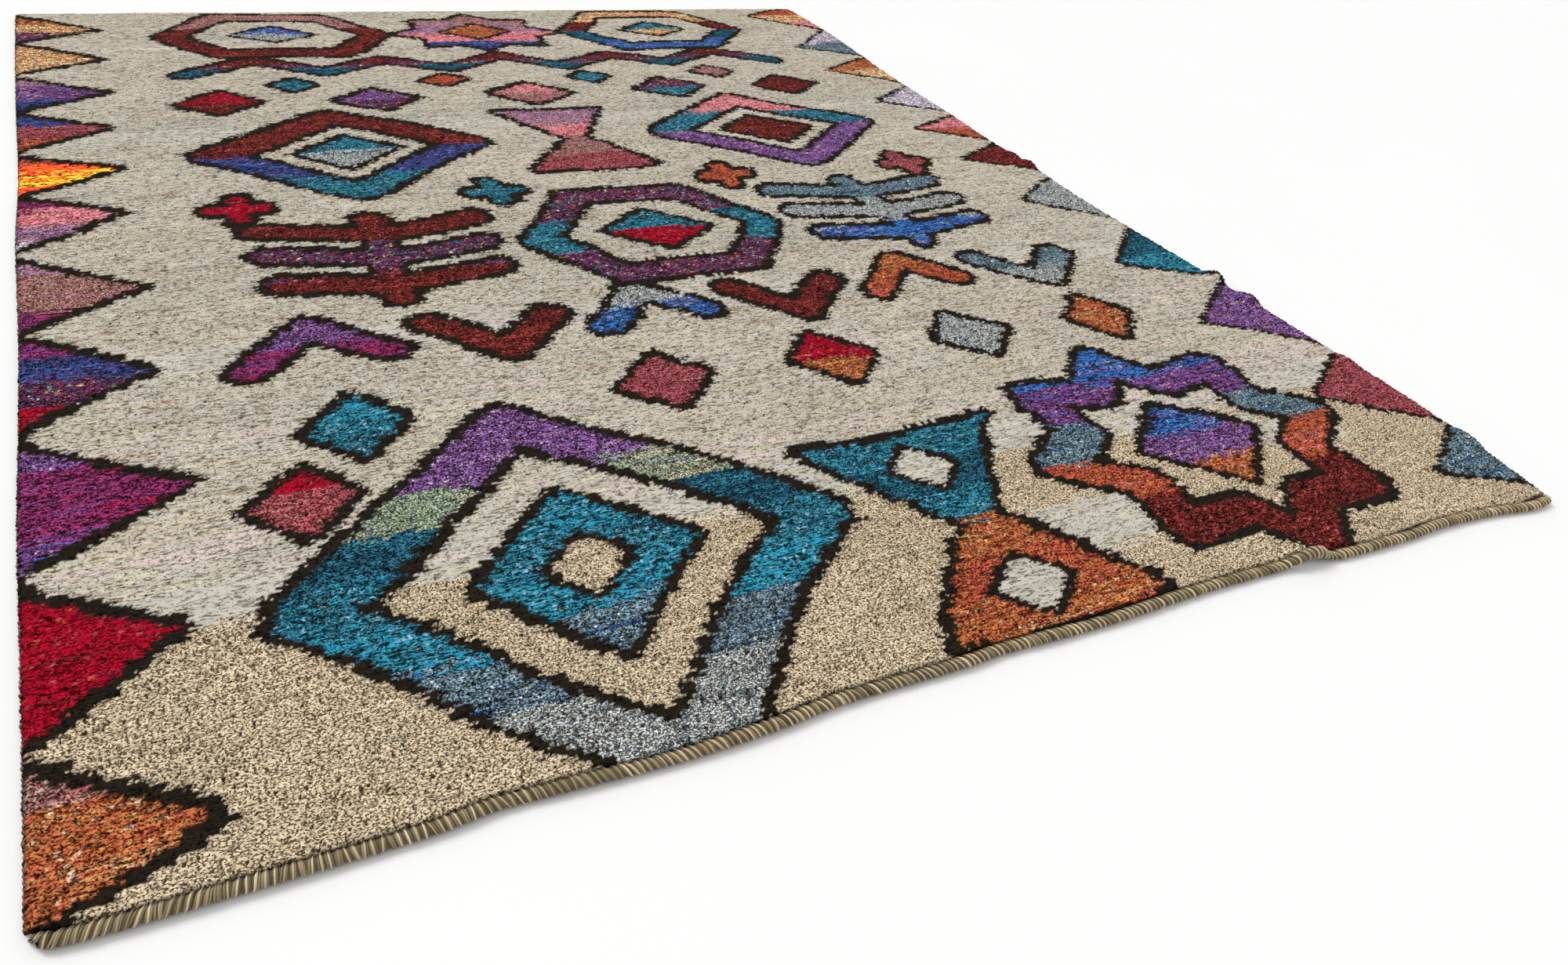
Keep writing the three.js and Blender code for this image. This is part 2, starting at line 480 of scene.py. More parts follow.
class Yarn(Enum):
    """The yarns of the rug."""

    BARK = Recipe(
        Dye.BARK,
        streaks=((Dye.COFFEE, 0.12),),
        flecks=((Dye.COFFEE, 0.08),),
        uneven=0.12, gaps=0.06, lively=0.6, grain=0.3,
    )
    IVORY = Recipe(
        Dye.IVORY,
        streaks=(
            (Dye.OAT, 0.3), (Dye.CREAM, 0.25), (Dye.STONE, 0.16), (Dye.DRAB, 0.08), (Dye.AUBURN, 0.03),
        ),
        flecks=((Dye.STONE, 0.04), (Dye.DRAB, 0.012)),
        uneven=0.08, gaps=0.06, lively=0.5, grain=0.38,
    )
    CREAM = Recipe(
        Dye.CREAM,
        streaks=((Dye.IVORY, 0.3), (Dye.BLUSH, 0.1), (Dye.STONE, 0.1), (Dye.STRAW, 0.05)),
        uneven=0.04, gaps=0.03, lively=0.45, grain=0.3,
    )
    OAT = Recipe(
        Dye.IVORY,
        streaks=((Dye.OAT, 0.4), (Dye.STONE, 0.2), (Dye.DRAB, 0.05)),
        flecks=((Dye.TAN, 0.02),),
        uneven=0.06, gaps=0.06, lively=0.55, grain=0.36,
    )
    BLUSH = Recipe(
        Dye.IVORY,
        streaks=((Dye.BLUSH, 0.3), (Dye.STRAW, 0.16), (Dye.AUBURN, 0.035), (Dye.STONE, 0.1)),
        flecks=((Dye.STONE, 0.03), (Dye.DRAB, 0.01)),
        uneven=0.08, gaps=0.05, lively=0.55, grain=0.36,
    )
    FLECKED = Recipe(
        Dye.IVORY,
        streaks=((Dye.OAT, 0.2), (Dye.STONE, 0.2), (Dye.LILAC, 0.06), (Dye.DRAB, 0.06)),
        flecks=((Dye.SLATE, 0.03), (Dye.DRAB, 0.03), (Dye.COFFEE, 0.012)),
        uneven=0.08, gaps=0.06, lively=0.6, grain=0.3,
    )
    CAMEL = Recipe(
        Dye.CAMEL,
        streaks=((Dye.TAN, 0.1), (Dye.OAT, 0.1)),
        flecks=((Dye.TAN, 0.04),),
        uneven=0.1, gaps=0.15, lively=0.9, grain=0.24,
    )
    TEAL = Recipe(
        Dye.TEAL,
        streaks=((Dye.TURQUOISE, 0.35), (Dye.PETROL, 0.3), (Dye.INK, 0.1)),
        flecks=((Dye.INK, 0.1), (Dye.SLATE, 0.08)),
        uneven=0.14, gaps=0.12,
    )
    TURQUOISE = Recipe(
        Dye.TURQUOISE,
        streaks=((Dye.TEAL, 0.35), (Dye.PETROL, 0.16), (Dye.INK, 0.05)),
        flecks=((Dye.SLATE, 0.06), (Dye.INK, 0.06)),
        uneven=0.12, gaps=0.09,
    )
    PETROL = Recipe(
        Dye.PETROL,
        streaks=((Dye.INK, 0.3), (Dye.TEAL, 0.3)),
        flecks=((Dye.TEAL, 0.12), (Dye.INK, 0.12)),
        uneven=0.14, gaps=0.14,
    )
    BLUE = Recipe(
        Dye.BLUE,
        streaks=((Dye.NAVY, 0.3), (Dye.PURPLE, 0.14), (Dye.SLATE, 0.1)),
        flecks=((Dye.SLATE, 0.04),),
        uneven=0.14, gaps=0.1,
    )
    NAVY = Recipe(
        Dye.NAVY,
        streaks=((Dye.BLUE, 0.25), (Dye.INK, 0.2)),
        flecks=((Dye.PURPLE, 0.05),),
        uneven=0.14, gaps=0.1,
    )
    SLATE = Recipe(
        Dye.SLATE,
        streaks=((Dye.BLUE, 0.14), (Dye.INK, 0.08)),
        flecks=((Dye.FROST, 0.03), (Dye.INK, 0.06)),
        uneven=0.13, gaps=0.16, grain=0.85,
    )
    FROST = Recipe(
        Dye.FROST,
        streaks=((Dye.SILVER, 0.15),),
        flecks=((Dye.SILVER, 0.25), (Dye.PLUM, 0.06), (Dye.SLATE, 0.12)),
        uneven=0.14, gaps=0.19, lively=1.2, grain=0.34,
    )
    MAROON = Recipe(
        Dye.MAROON,
        streaks=((Dye.BRICK, 0.14), (Dye.BARK, 0.06)),
        flecks=((Dye.BRICK, 0.12), (Dye.ROSE, 0.03)),
        uneven=0.15, gaps=0.14,
    )
    CRIMSON = Recipe(
        Dye.CRIMSON,
        streaks=((Dye.MAGENTA, 0.05), (Dye.MAROON, 0.08)),
        flecks=((Dye.CORAL, 0.02), (Dye.ROSE, 0.03)),
        uneven=0.1, gaps=0.1, lively=0.9, grain=0.66,
    )
    RUST = Recipe(
        Dye.RUST,
        streaks=((Dye.CORAL, 0.25), (Dye.SAND, 0.22), (Dye.MUSTARD, 0.08), (Dye.BRICK, 0.1)),
        flecks=(
            (Dye.CORAL, 0.1), (Dye.MUSTARD, 0.04), (Dye.OAT, 0.012), (Dye.TAN, 0.03), (Dye.BRICK, 0.12),
        ),
        uneven=0.13, gaps=0.12, lively=1.0, grain=0.8,
    )
    CORAL = Recipe(
        Dye.CORAL,
        streaks=((Dye.RUST, 0.2), (Dye.PINK, 0.1)),
        flecks=((Dye.MUSTARD, 0.06), (Dye.BRICK, 0.1)),
        uneven=0.13, gaps=0.13, grain=0.8,
    )
    ORANGE = Recipe(
        Dye.ORANGE,
        streaks=((Dye.YELLOW, 0.15), (Dye.CRIMSON, 0.12)),
        uneven=0.1, gaps=0.08,
    )
    YELLOW = Recipe(
        Dye.YELLOW,
        streaks=((Dye.ORANGE, 0.25),),
        uneven=0.1, gaps=0.08,
    )
    ROSE = Recipe(
        Dye.ROSE,
        streaks=((Dye.DUSTY, 0.1), (Dye.MAROON, 0.06)),
        flecks=((Dye.BRICK, 0.06), (Dye.DUSTY, 0.06)),
        uneven=0.12, gaps=0.15, grain=0.8,
    )
    PINK = Recipe(
        Dye.PINK,
        streaks=((Dye.DUSTY, 0.2), (Dye.CORAL, 0.1)),
        flecks=((Dye.ROSE, 0.06),),
        uneven=0.12, gaps=0.11, grain=0.8,
    )
    DUSTY = Recipe(
        Dye.DUSTY,
        streaks=((Dye.MAUVE, 0.2), (Dye.ROSE, 0.14), (Dye.PINK, 0.1)),
        flecks=((Dye.OAT, 0.03), (Dye.ROSE, 0.08)),
        uneven=0.12, gaps=0.15, grain=0.75,
    )
    MAGENTA = Recipe(
        Dye.MAGENTA,
        streaks=((Dye.CRIMSON, 0.14), (Dye.VIOLET, 0.25), (Dye.PLUM, 0.12)),
        flecks=((Dye.PLUM, 0.08),),
        uneven=0.13, gaps=0.12,
    )
    VIOLET = Recipe(
        Dye.VIOLET,
        streaks=((Dye.PLUM, 0.2), (Dye.BLUE, 0.1), (Dye.MAUVE, 0.06)),
        flecks=((Dye.MAUVE, 0.06),),
        uneven=0.13, gaps=0.12,
    )
    PURPLE = Recipe(
        Dye.PURPLE,
        streaks=((Dye.PLUM, 0.1), (Dye.MAUVE, 0.12)),
        flecks=((Dye.PLUM, 0.06), (Dye.LILAC, 0.05)),
        uneven=0.13, gaps=0.15,
    )
    PLUM = Recipe(
        Dye.PLUM,
        streaks=((Dye.TEAL, 0.1), (Dye.MAGENTA, 0.12), (Dye.BARK, 0.1)),
        flecks=((Dye.MUSTARD, 0.04), (Dye.TEAL, 0.08), (Dye.MINT, 0.03), (Dye.BRICK, 0.08)),
        uneven=0.15, gaps=0.14,
    )
    MAUVE = Recipe(
        Dye.MAUVE,
        streaks=((Dye.DUSTY, 0.2), (Dye.PURPLE, 0.2), (Dye.MAGENTA, 0.06)),
        flecks=((Dye.LILAC, 0.06),),
        uneven=0.12, gaps=0.13, grain=0.8,
    )
    LILAC = Recipe(
        Dye.LILAC,
        streaks=((Dye.SLATE, 0.15), (Dye.MAUVE, 0.15), (Dye.STONE, 0.2)),
        flecks=((Dye.FROST, 0.03),),
        uneven=0.1, gaps=0.12,
    )
    SAND = Recipe(
        Dye.SAND,
        streaks=((Dye.TAN, 0.25), (Dye.RUST, 0.1), (Dye.DRAB, 0.06)),
        flecks=((Dye.OAT, 0.06),),
        uneven=0.1, gaps=0.12,
    )
    MINT = Recipe(
        Dye.MINT,
        streaks=((Dye.STRAW, 0.25), (Dye.LILAC, 0.15), (Dye.DRAB, 0.1)),
        flecks=((Dye.PURPLE, 0.05), (Dye.TEAL, 0.05)),
        uneven=0.13, gaps=0.16, grain=0.6,
    )


def star_line(points: int, inner: float) -> Line:
    """The rim of a star.

    Args:
        points: How many points it has.
        inner: How far out its inner corners are, where its tips are at 1.

    Returns:
        Its corners, once round.
    """
    turns = [math.pi * step / points for step in range(2 * points)]
    return tuple(
        (math.sin(turn) * (inner if step % 2 else 1), math.cos(turn) * (inner if step % 2 else 1))
        for step, turn in enumerate(turns)
    )


def zigzag_line(peaks: int) -> Line:
    """A line of even slants from left to right."""
    steps = 2 * peaks
    return tuple((2 * step / steps - 1, 1.0 if step % 2 else -1.0) for step in range(steps + 1))


@dataclass(frozen=True)
class Drawing:
    """The lines of a motif in a square from -1 to 1: closed rims, and open strokes."""

    closed: tuple[Line, ...] = ()
    strokes: tuple[Line, ...] = ()


class Shape(Enum):
    """The old knotters' motifs that the field is made of."""

    LOZENGE = Drawing(closed=(((0, 1), (1, 0), (0, -1), (-1, 0)),))
    HOURGLASS = Drawing(closed=(((-1, 1), (1, 1), (0.16, 0), (1, -1), (-1, -1), (-0.16, 0)),))
    HEXAGON = Drawing(closed=(((-0.5, 1), (0.5, 1), (1, 0), (0.5, -1), (-0.5, -1), (-1, 0)),))
    STAR = Drawing(closed=(star_line(8, 0.7),))
    CROSS = Drawing(strokes=(((0, -1), (0, 1)), ((-1, 0), (1, 0))))
    CHEVRON = Drawing(strokes=(((-1, -1), (0, 1), (1, -1)),))
    ZIGZAG = Drawing(strokes=(zigzag_line(5),))
    FISHBONE = Drawing(
        strokes=(
            ((0, -1), (0, 1)),
            *(((-1, at + 0.3), (0, at), (1, at + 0.3)) for at in (-0.75, -0.1, 0.55)),
        ),
    )
    PATCH = Drawing(closed=(((-1, -1), (1, -1), (1, 1), (-1, 1)),))


def line_distance(x: np.ndarray, y: np.ndarray, line: np.ndarray, closed: bool) -> np.ndarray:
    """How far places are from a line, below zero inside a closed one.

    Args:
        x: Places across the rug.
        y: Places along the rug.
        line: The line's corners, a row for each.
        closed: Whether its last corner joins its first.

    Returns:
        One distance for each place.
    """
    starts = line if closed else line[:-1]
    ends = np.roll(line, -1, axis=0) if closed else line[1:]
    nearest = np.full(x.shape, np.inf)
    inside = np.zeros(x.shape, bool)
    for (ax, ay), (bx, by) in zip(starts, ends):
        along_x, along_y = bx - ax, by - ay
        t = ((x - ax) * along_x + (y - ay) * along_y) / (along_x**2 + along_y**2)
        t = np.clip(t, 0, 1)
        nearest = np.minimum(nearest, np.hypot(x - ax - t * along_x, y - ay - t * along_y))
        if closed and ay != by:
            crossed = (ay > y) != (by > y)
            inside ^= crossed & (x < ax + along_x * (y - ay) / along_y)
    return np.where(inside, -nearest, nearest)


@dataclass(frozen=True)
class Figure:
    """Rims and strokes in millimetres, with the yarns that fill them from back to front.

    With no band the closed rims are filled, and with one they are rings of that width.
    Strokes are as wide as the band, or as arm where there is none.
    """

    closed: tuple[np.ndarray, ...]
    strokes: tuple[np.ndarray, ...]
    yarns: tuple[Yarn, ...]
    band: float | None = None
    arm: float = 60.0
    rim: float = 22.0
    room: float = 20.0

    @property
    def box(self) -> tuple[np.ndarray, np.ndarray]:
        """Its lowest and highest corner, with the rim and some room.

        Returns:
            The two corners.
        """
        corners = np.concatenate([*self.closed, *self.strokes])
        margin = self.rim + (self.band or self.arm) / 2 + self.room
        return corners.min(axis=0) - margin, corners.max(axis=0) + margin

    def distance(self, x: np.ndarray, y: np.ndarray) -> np.ndarray:
        """How far places are outside the figure, below zero inside it.

        Args:
            x: Places across the rug.
            y: Places along the rug.

        Returns:
            One distance for each place.
        """
        found = np.full(x.shape, np.inf)
        for line in self.closed:
            gap = line_distance(x, y, line, True)
            found = np.minimum(found, np.abs(gap) - self.band / 2 if self.band else gap)
        for line in self.strokes:
            gap = line_distance(x, y, line, False)
            found = np.minimum(found, gap - (self.band or self.arm) / 2)
        return found

    def yarn_numbers(self, y: np.ndarray) -> np.ndarray:
        """The number of the yarn that the figure has at each place along the rug.

        Args:
            y: Places along the rug.

        Returns:
            One number for each place.
        """
        corners = np.concatenate([*self.closed, *self.strokes])
        reach = self.band / 2 if self.band else 0
        front = corners[:, 1].min() - reach
        back = corners[:, 1].max() + reach
        step = ((back - y) / (back - front) * len(self.yarns)).astype(int)
        return np.array([NUMBER[yarn] for yarn in self.yarns])[np.clip(step, 0, len(self.yarns) - 1)]


@dataclass(frozen=True)
class Motif:
    """One motif of the field: its place, half sizes, and yarns from back to front."""

    shape: Shape
    at: tuple[float, float]
    half: tuple[float, float]
    yarns: tuple[Yarn, ...]
    band: float | None = None
    arm: float = 60.0
    rim: float = 22.0

    def figure(self) -> Figure:
        """The motif drawn at its place and size.

        Returns:
            Its rims and strokes in millimetres.
        """
        closed = tuple(np.array(line) * self.half + self.at for line in self.shape.value.closed)
        strokes = tuple(np.array(line) * self.half + self.at for line in self.shape.value.strokes)
        return Figure(closed, strokes, self.yarns, self.band, self.arm, self.rim)


@dataclass(frozen=True)
class Border:
    """The row of teeth along one side, from back to front.

    Each tooth has its tip's place along the rug, how far its outline reaches in from the rim, and its
    yarns.
    """

    side: int
    root: float
    ends: tuple[float, float]
    teeth: tuple[tuple[float, float, tuple[Yarn, ...]], ...]
    rim: float = 24.0
    past: float = 40.0

    def figures(self) -> list[Figure]:
        """The teeth as triangles, with their roots just past the rim.

        Returns:
            A figure for each tooth.
        """
        tips = [tooth[0] for tooth in self.teeth]
        between = [(one + other) / 2 for one, other in zip(tips, tips[1:])]
        valleys = [self.ends[0], *between, self.ends[1]]
        outer = self.side * (self.root + self.past)
        made = []
        for (tip, reach, yarns), back, front in zip(self.teeth, valleys, valleys[1:]):
            inner = self.side * (self.root - reach + self.rim)
            corners = np.array(((outer, back), (inner, tip), (outer, front)))
            made.append(Figure((corners,), (), yarns, rim=self.rim))
        return made


NUMBER = {yarn: number for number, yarn in enumerate(Yarn)}


@dataclass(frozen=True)
class Loom:
    """The rows of knots: every edge of the pattern steps from row to row, in short spikes along them.

    A run is how far along a row one spike, step or lag lasts.
    """

    row_pitch: float = 12.0
    thread_pitch: float = 6.0
    knot_pitch: float = 8.0
    knot_share: float = 0.65
    fleck_pitch: float = 4.2
    spike: float = 10.0
    spike_run: float = 90.0
    step: float = 7.0
    step_run: float = 32.0
    ragged: float = 5.0
    ragged_run: float = 60.0
    waver: float = 3.0
    sway: float = 9.0
    sways: tuple[Ripple, Ripple] = (Ripple(88, 2.1, 240), Ripple(103, 1.7, 270))

    def knot_of(self, x: np.ndarray, y: np.ndarray) -> tuple[np.ndarray, np.ndarray]:
        """The row and column of the knot at each place."""
        row = np.floor(y / self.row_pitch)
        return row, np.floor(x / self.knot_pitch + Chance.even(Seed.KNOT_SHIFT, row))

    def drawn_place(self, x: np.ndarray, y: np.ndarray) -> tuple[np.ndarray, np.ndarray]:
        """Where a place lies in the plan of the pattern, which the knotter's hand never quite follows.

        Args:
            x: Places across the rug.
            y: Places along the rug.

        Returns:
            Their x and y in the plan.
        """
        row, column = self.knot_of(x, y)
        within = np.abs(y / self.row_pitch - row - 0.5) * 2
        lean = np.where(Chance.even(Seed.SPIKE, row, np.floor(x / self.spike_run)) < 0.5, -1, 1)
        lag = (Chance.streak(Seed.LAG, x, row, self.ragged_run) - 0.5) * 2 * self.ragged
        cell = np.floor(x / self.step_run + Chance.even(Seed.STEP_SHIFT, row))
        lag = lag + self.step * Chance.bell(Seed.STEP, row, cell)
        middle = (column + 0.5 - Chance.even(Seed.KNOT_SHIFT, row)) * self.knot_pitch
        plan_x = x * (1 - self.knot_share) + middle * self.knot_share + lag
        plan_x = plan_x + lean * self.spike * (within - 0.5) + self.sway * self.sways[0].at(y, x)
        plan_y = (row + 0.5) * self.row_pitch + self.waver * Chance.bell(Seed.WAVER, row, column)
        return plan_x, plan_y + self.sway * self.sways[1].at(x, y)


@dataclass(frozen=True)
class Pattern:
    """The whole drawing: the ground in bands, the motifs of the field and the two toothed borders.

    Each band of the ground has the place where it ends at the front, but for the last one. A run is how far
    a colour lasts along a row, and change is how unevenly one yarn gives way to the next.
    """

    loom: Loom = Loom()
    change: float = 44.0
    change_run: float = 160.0
    change_in_patches: float = 0.5
    change_in_figures: float = 0.7
    streak_run: float = 110.0
    streak_speckle: float = 0.1
    streak_edge: tuple[float, float] = (0.02, 0.3)
    streak_seeds: tuple[int, int, int] = (31, 7, 3)
    fleck_seeds: tuple[int, int, int] = (57, 5, 11)
    strength: float = 0.85
    shade_cells: float = 7.0
    shade_limits: tuple[float, float] = (0.4, 1.6)
    row_shade: float = 0.2
    row_shade_run: float = 90.0
    cloud_shade: float = 0.1
    cloud_size: float = 130.0
    ground: tuple[tuple[float, Yarn], ...] = (
        (1480, Yarn.OAT), (1330, Yarn.IVORY), (1250, Yarn.BLUSH), (1010, Yarn.IVORY), (930, Yarn.OAT),
        (700, Yarn.IVORY), (610, Yarn.FLECKED), (540, Yarn.CREAM), (350, Yarn.IVORY), (270, Yarn.BLUSH),
        (110, Yarn.IVORY), (30, Yarn.OAT), (-180, Yarn.IVORY), (-260, Yarn.FLECKED), (-430, Yarn.IVORY),
        (-520, Yarn.CREAM), (-700, Yarn.IVORY), (-790, Yarn.BLUSH), (-900, Yarn.IVORY), (-980, Yarn.OAT),
        (-1080, Yarn.BLUSH), (-1180, Yarn.CREAM), (-math.inf, Yarn.CAMEL),
    )
    patches: tuple[Motif, ...] = (
        Motif(Shape.PATCH, (210, -1400), (190, 62), (Yarn.CREAM,), rim=0),
        Motif(Shape.PATCH, (890, -1260), (110, 70), (Yarn.IVORY,), rim=0),
    )
    motifs: tuple[Motif, ...] = (
        Motif(Shape.LOZENGE, (-545, -1215), (385, 395), (
            Yarn.PURPLE, Yarn.PURPLE, Yarn.MINT, Yarn.PETROL, Yarn.TEAL, Yarn.TURQUOISE, Yarn.SLATE,
            Yarn.FROST, Yarn.FROST,
        ), band=86),
        Motif(Shape.LOZENGE, (-545, -1215), (176, 184),
              (Yarn.TURQUOISE, Yarn.TEAL, Yarn.TURQUOISE, Yarn.SLATE)),
        Motif(Shape.LOZENGE, (-545, -1215), (62, 62), (Yarn.CAMEL,), rim=18),
        Motif(Shape.LOZENGE, (-895, -955), (80, 84), (Yarn.CRIMSON, Yarn.ROSE, Yarn.ROSE)),
        Motif(Shape.HOURGLASS, (85, -1310), (205, 255),
              (Yarn.TEAL, Yarn.PETROL, Yarn.TEAL, Yarn.RUST, Yarn.CORAL, Yarn.RUST)),
        Motif(Shape.LOZENGE, (85, -1155), (62, 60), (Yarn.CREAM,), rim=18),
        Motif(Shape.LOZENGE, (85, -1475), (62, 60), (Yarn.CREAM,), rim=18),
        Motif(Shape.STAR, (655, -1245), (320, 310),
              (Yarn.BLUE, Yarn.VIOLET, Yarn.SLATE, Yarn.CORAL, Yarn.MAROON, Yarn.MAROON), band=78),
        Motif(Shape.LOZENGE, (655, -1245), (135, 130), (Yarn.BLUE, Yarn.PURPLE, Yarn.RUST)),
        *(Motif(Shape.LOZENGE, (x, -770), (84, 92), own) for x, own in (
            (-790, (Yarn.TURQUOISE, Yarn.TEAL)), (-230, (Yarn.ROSE,)), (110, (Yarn.CRIMSON, Yarn.RUST)),
            (450, (Yarn.FROST,)), (800, (Yarn.RUST,)),
        )),
        *(Motif(Shape.CHEVRON, (x, -500 + 24 * turn), (112, 62 * turn), own, arm=54) for x, turn, own in (
            (-800, 1, (Yarn.PURPLE, Yarn.MAGENTA)), (-480, -1, (Yarn.MAROON,)),
            (-160, 1, (Yarn.FROST, Yarn.BLUE)), (160, -1, (Yarn.MAROON,)),
            (480, 1, (Yarn.RUST, Yarn.CORAL)), (800, -1, (Yarn.SLATE, Yarn.FROST)),
        )),
        Motif(Shape.FISHBONE, (-610, -150), (220, 190), (Yarn.MAROON, Yarn.PLUM, Yarn.MAROON), band=54),
        Motif(Shape.HEXAGON, (0, -140), (270, 205), (Yarn.PLUM, Yarn.TEAL, Yarn.PLUM), band=64),
        Motif(Shape.LOZENGE, (0, -140), (120, 100), (Yarn.TEAL, Yarn.CRIMSON)),
        Motif(Shape.FISHBONE, (610, -150), (220, 190), (Yarn.SLATE, Yarn.FROST, Yarn.BLUE), band=54),
        *(Motif(Shape.CROSS, (x, 130), (50, 50), (yarn,), arm=42) for x, yarn in (
            (-850, Yarn.CRIMSON), (-300, Yarn.TEAL), (300, Yarn.CORAL), (850, Yarn.ROSE),
        )),
        Motif(Shape.LOZENGE, (-575, 440), (300, 240),
              (Yarn.MAROON, Yarn.MAROON, Yarn.NAVY, Yarn.TEAL), band=74),
        Motif(Shape.LOZENGE, (-575, 440), (120, 96), (Yarn.TEAL, Yarn.FROST)),
        Motif(Shape.HOURGLASS, (0, 450), (150, 210), (Yarn.MAUVE, Yarn.PINK, Yarn.DUSTY, Yarn.ROSE)),
        Motif(Shape.LOZENGE, (575, 440), (300, 240),
              (Yarn.PINK, Yarn.TEAL, Yarn.PURPLE, Yarn.PURPLE), band=74),
        Motif(Shape.LOZENGE, (575, 440), (120, 96), (Yarn.MAROON,)),
        *(Motif(Shape.LOZENGE, (x, 800), (104, 82), own) for x, own in (
            (-820, (Yarn.CRIMSON, Yarn.MAROON)), (-420, (Yarn.PURPLE, Yarn.PLUM)),
            (0, (Yarn.PINK, Yarn.DUSTY)), (420, (Yarn.PLUM, Yarn.TEAL)), (820, (Yarn.MAROON,)),
        )),
        *(Motif(Shape.LOZENGE, (x, 930), (58, 46), (yarn,), rim=20) for x, yarn in (
            (-620, Yarn.TEAL), (-210, Yarn.CORAL), (210, Yarn.TEAL), (620, Yarn.DUSTY),
        )),
        Motif(Shape.ZIGZAG, (0, 1085), (880, 50), (Yarn.MAROON, Yarn.PLUM, Yarn.PETROL), arm=46, rim=20),
        Motif(Shape.HEXAGON, (-600, 1380), (300, 175),
              (Yarn.DUSTY, Yarn.MAROON, Yarn.MAROON), band=56, rim=20),
        Motif(Shape.LOZENGE, (-600, 1380), (110, 70), (Yarn.BLUE, Yarn.FROST), rim=18),
        Motif(Shape.STAR, (0, 1375), (250, 190), (Yarn.DUSTY, Yarn.MAUVE, Yarn.PINK, Yarn.NAVY)),
        Motif(Shape.LOZENGE, (0, 1380), (90, 72), (Yarn.RUST,), rim=18),
        Motif(Shape.HEXAGON, (600, 1380), (300, 175),
              (Yarn.SAND, Yarn.MAROON, Yarn.PETROL, Yarn.BLUE), band=56, rim=20),
        Motif(Shape.LOZENGE, (600, 1380), (110, 70), (Yarn.TEAL, Yarn.SAND), rim=18),
    )
    borders: tuple[Border, ...] = (
        Border(-1, 1262, (1610, -1585), (
            (1462, 205, (Yarn.RUST, Yarn.SAND, Yarn.PLUM)),
            (1191, 215, (Yarn.SAND,)),
            (930, 210, (Yarn.MAUVE, Yarn.VIOLET, Yarn.NAVY)),
            (665, 205, (Yarn.NAVY, Yarn.ROSE, Yarn.CORAL)),
            (404, 220, (Yarn.CORAL, Yarn.ORANGE, Yarn.YELLOW, Yarn.ORANGE)),
            (170, 200, (Yarn.MAGENTA, Yarn.PINK, Yarn.MAUVE, Yarn.LILAC)),
            (-174, 215, (Yarn.MAUVE, Yarn.DUSTY, Yarn.DUSTY, Yarn.MAGENTA)),
            (-496, 215, (Yarn.MAGENTA, Yarn.NAVY, Yarn.PLUM, Yarn.CRIMSON)),
            (-839, 230, (Yarn.PURPLE, Yarn.MAGENTA, Yarn.MAGENTA, Yarn.VIOLET)),
            (-1174, 205, (Yarn.CRIMSON,)),
            (-1496, 200, (Yarn.DUSTY, Yarn.RUST, Yarn.RUST)),
        )),
        Border(1, 1236, (1625, -1600), (
            (1530, 200, (Yarn.CORAL, Yarn.SAND, Yarn.PINK)),
            (1157, 195, (Yarn.LILAC, Yarn.SLATE)),
            (905, 205, (Yarn.RUST, Yarn.SAND)),
            (600, 200, (Yarn.LILAC,)),
            (358, 195, (Yarn.PINK, Yarn.CORAL)),
            (112, 200, (Yarn.MAROON,)),
            (-172, 195, (Yarn.FROST,)),
            (-555, 215, (Yarn.PETROL, Yarn.TURQUOISE)),
            (-871, 205, (Yarn.PURPLE,)),
            (-1201, 210, (Yarn.ROSE,)),
            (-1496, 190, (Yarn.SLATE,)),
        ), rim=16),
    )

    def paint(self, x: np.ndarray, y: np.ndarray) -> np.ndarray:
        """What is knotted at each place.

        Args:
            x: Places across the rug.
            y: Places along the rug.

        Returns:
            The number of each place's yarn.
        """
        plan_x, plan_y = self.loom.drawn_place(x, y)
        run = Chance.streak(Seed.CHANGE, x, np.floor(y / self.loom.thread_pitch), self.change_run)
        change = (run - 0.5) * self.change
        yarns = self.ground_numbers(plan_y + change)
        for patch in (motif.figure() for motif in self.patches):
            inside = patch.distance(plan_x, plan_y + change * self.change_in_patches) < 0
            yarns[inside] = patch.yarn_numbers(plan_y[inside])
        figures = [motif.figure() for motif in self.motifs]
        figures += [figure for border in self.borders for figure in border.figures()]
        for figure in figures:
            low, high = figure.box
            near = (plan_x > low[0]) & (plan_x < high[0]) & (plan_y > low[1]) & (plan_y < high[1])
            index = np.flatnonzero(near)
            gap = figure.distance(plan_x[index], plan_y[index])
            outline = index[(gap >= 0) & (gap < figure.rim)]
            inside = index[gap < 0]
            yarns[outline] = NUMBER[Yarn.BARK]
            yarns[inside] = figure.yarn_numbers(plan_y[inside] + change[inside] * self.change_in_figures)
        return yarns

    def looks(self, yarns: np.ndarray) -> np.ndarray:
        """How open, how lively in height and how uneven in tone each place's yarn is, a row for each."""
        looks = np.array([(yarn.value.gaps, yarn.value.lively, yarn.value.grain) for yarn in NUMBER])
        return looks[yarns]

    def ground_numbers(self, y: np.ndarray) -> np.ndarray:
        """The number of the ground's yarn at each place along the rug.

        Args:
            y: Places along the rug.

        Returns:
            One number for each place.
        """
        fronts = np.array([front for front, _ in self.ground])
        numbers = np.array([NUMBER[yarn] for _, yarn in self.ground])
        return numbers[np.argmax(y[:, None] > fronts[None, :], axis=1)]

